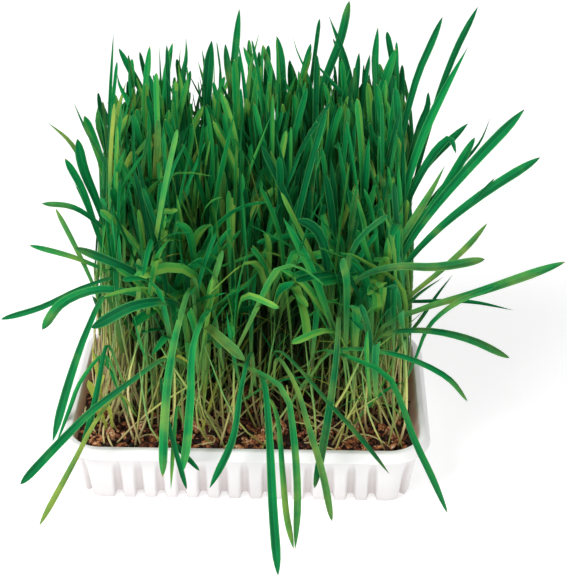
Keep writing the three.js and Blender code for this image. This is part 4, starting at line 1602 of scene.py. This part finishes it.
# The fan at the right takes the full key light, so its tones are scaled down further, as painted shade.
grow_long_leaves(FAN_RIGHT, rng, long_guide, FACING_FRONT, ages=(0.3, 0.55), tone_scale=0.5)
grow_long_leaves(TALL_AT_THE_BACK, rng, long_guide, FACING_FRONT, ages=(0.2, 0.5))
grow_long_leaves(REACHING_LEFT, rng, long_guide, FACING_FRONT)
grow_long_leaves(FALLING_OVER_THE_FRONT, rng, long_guide)
grow_long_leaves(FADING, rng, long_guide, FACING_FRONT, ages=(0.5, 0.62), tone_scale=0.35)
grow_long_leaves(YELLOWED, rng, long_guide, FACING_FRONT, ages=(0.85, 1.0))
sweep(long_guide, "long_leaves", leaf_finish, Fold=0.16)

# %% [markdown]
# ## Floor, light and camera
#
# The object stands on a plain pale floor, which glows a little so that it stays pale beside the tray. The
# photograph has one broad soft light from the upper left and front, and plenty of light all round. So one
# area light does most of the work, two weaker ones lift the front and the back, and a white world fills the
# rest.

# %% Floor
FLOOR_HALF = 4.0
FLOOR_COLOUR = (0.80, 0.80, 0.80, 1.0)
FLOOR_GLOW = 0.5
WHITE = (1.0, 1.0, 1.0, 1.0)


def pale_floor():
    material, net, shader = new_material("pale_floor", roughness=0.9)
    shader.inputs["Base Color"].default_value = FLOOR_COLOUR
    shader.inputs["Emission Color"].default_value = WHITE
    shader.inputs["Emission Strength"].default_value = FLOOR_GLOW
    corners = [(x * FLOOR_HALF, y * FLOOR_HALF, 0) for x, y in ((-1, -1), (1, -1), (1, 1), (-1, 1))]
    mesh = bpy.data.meshes.new("floor")
    mesh.from_pydata(corners, [], [(0, 1, 2, 3)])
    mesh.materials.append(material)
    return new_piece("floor", mesh)


floor = pale_floor()

# %% Lights
STAND_CENTRE = Vector((0.0, -0.02, 0.12))
WORLD_STRENGTH = 0.34


def area_light(name, place, size, power):
    """A round lamp that looks at the middle of the stand: its size in metres and its power in watts."""
    light = bpy.data.lights.new(name, "AREA")
    light.shape = "DISK"
    light.size = size
    light.energy = power
    lamp = bpy.data.objects.new(name, light)
    lamp.location = place
    lamp.rotation_mode = "QUATERNION"
    lamp.rotation_quaternion = (STAND_CENTRE - Vector(place)).to_track_quat("-Z", "Y")
    bpy.context.scene.collection.objects.link(lamp)


area_light("key_light", (-0.75, -0.75, 1.15), 0.7, 16.0)
area_light("fill_light", (0.5, -1.2, 0.5), 1.2, 5.5)
area_light("back_light", (0.2, 1.1, 0.9), 1.0, 3.0)

world = bpy.data.worlds.new("studio")
world.use_nodes = True
background = world.node_tree.nodes["Background"]
background.inputs["Color"].default_value = WHITE
background.inputs["Strength"].default_value = WORLD_STRENGTH
bpy.context.scene.world = world
bpy.context.scene.view_settings.view_transform = "Standard"

# %% [markdown]
# The camera stands where the photograph was taken from: thirty degrees above the horizon, a little to the
# right of the middle, and far enough away that the tray's sides hardly converge.

# %% Camera
CAMERA_ELEVATION = math.radians(30.04)
CAMERA_AZIMUTH = math.radians(1.41)
CAMERA_DISTANCE = 879 * MM
CAMERA_TARGET = Vector((20.8 * MM, 0.0, 105.1 * MM))
CAMERA_LENS = 93.5
CAMERA_SENSOR = 36.0

camera_data = bpy.data.cameras.new("camera")
camera_data.lens = CAMERA_LENS
camera_data.sensor_width = CAMERA_SENSOR
camera_data.clip_start = 0.01
camera_data.clip_end = 20.0
camera = bpy.data.objects.new("camera", camera_data)
level = math.cos(CAMERA_ELEVATION)
away_x = math.sin(CAMERA_AZIMUTH) * level
away_y = -math.cos(CAMERA_AZIMUTH) * level
away = Vector((away_x, away_y, math.sin(CAMERA_ELEVATION)))
camera.location = CAMERA_TARGET + away * CAMERA_DISTANCE
camera.rotation_mode = "QUATERNION"
camera.rotation_quaternion = (-away).to_track_quat("-Z", "Y")
bpy.context.scene.collection.objects.link(camera)
bpy.context.scene.camera = camera
print("camera at", [round(v, 3) for v in camera.location])
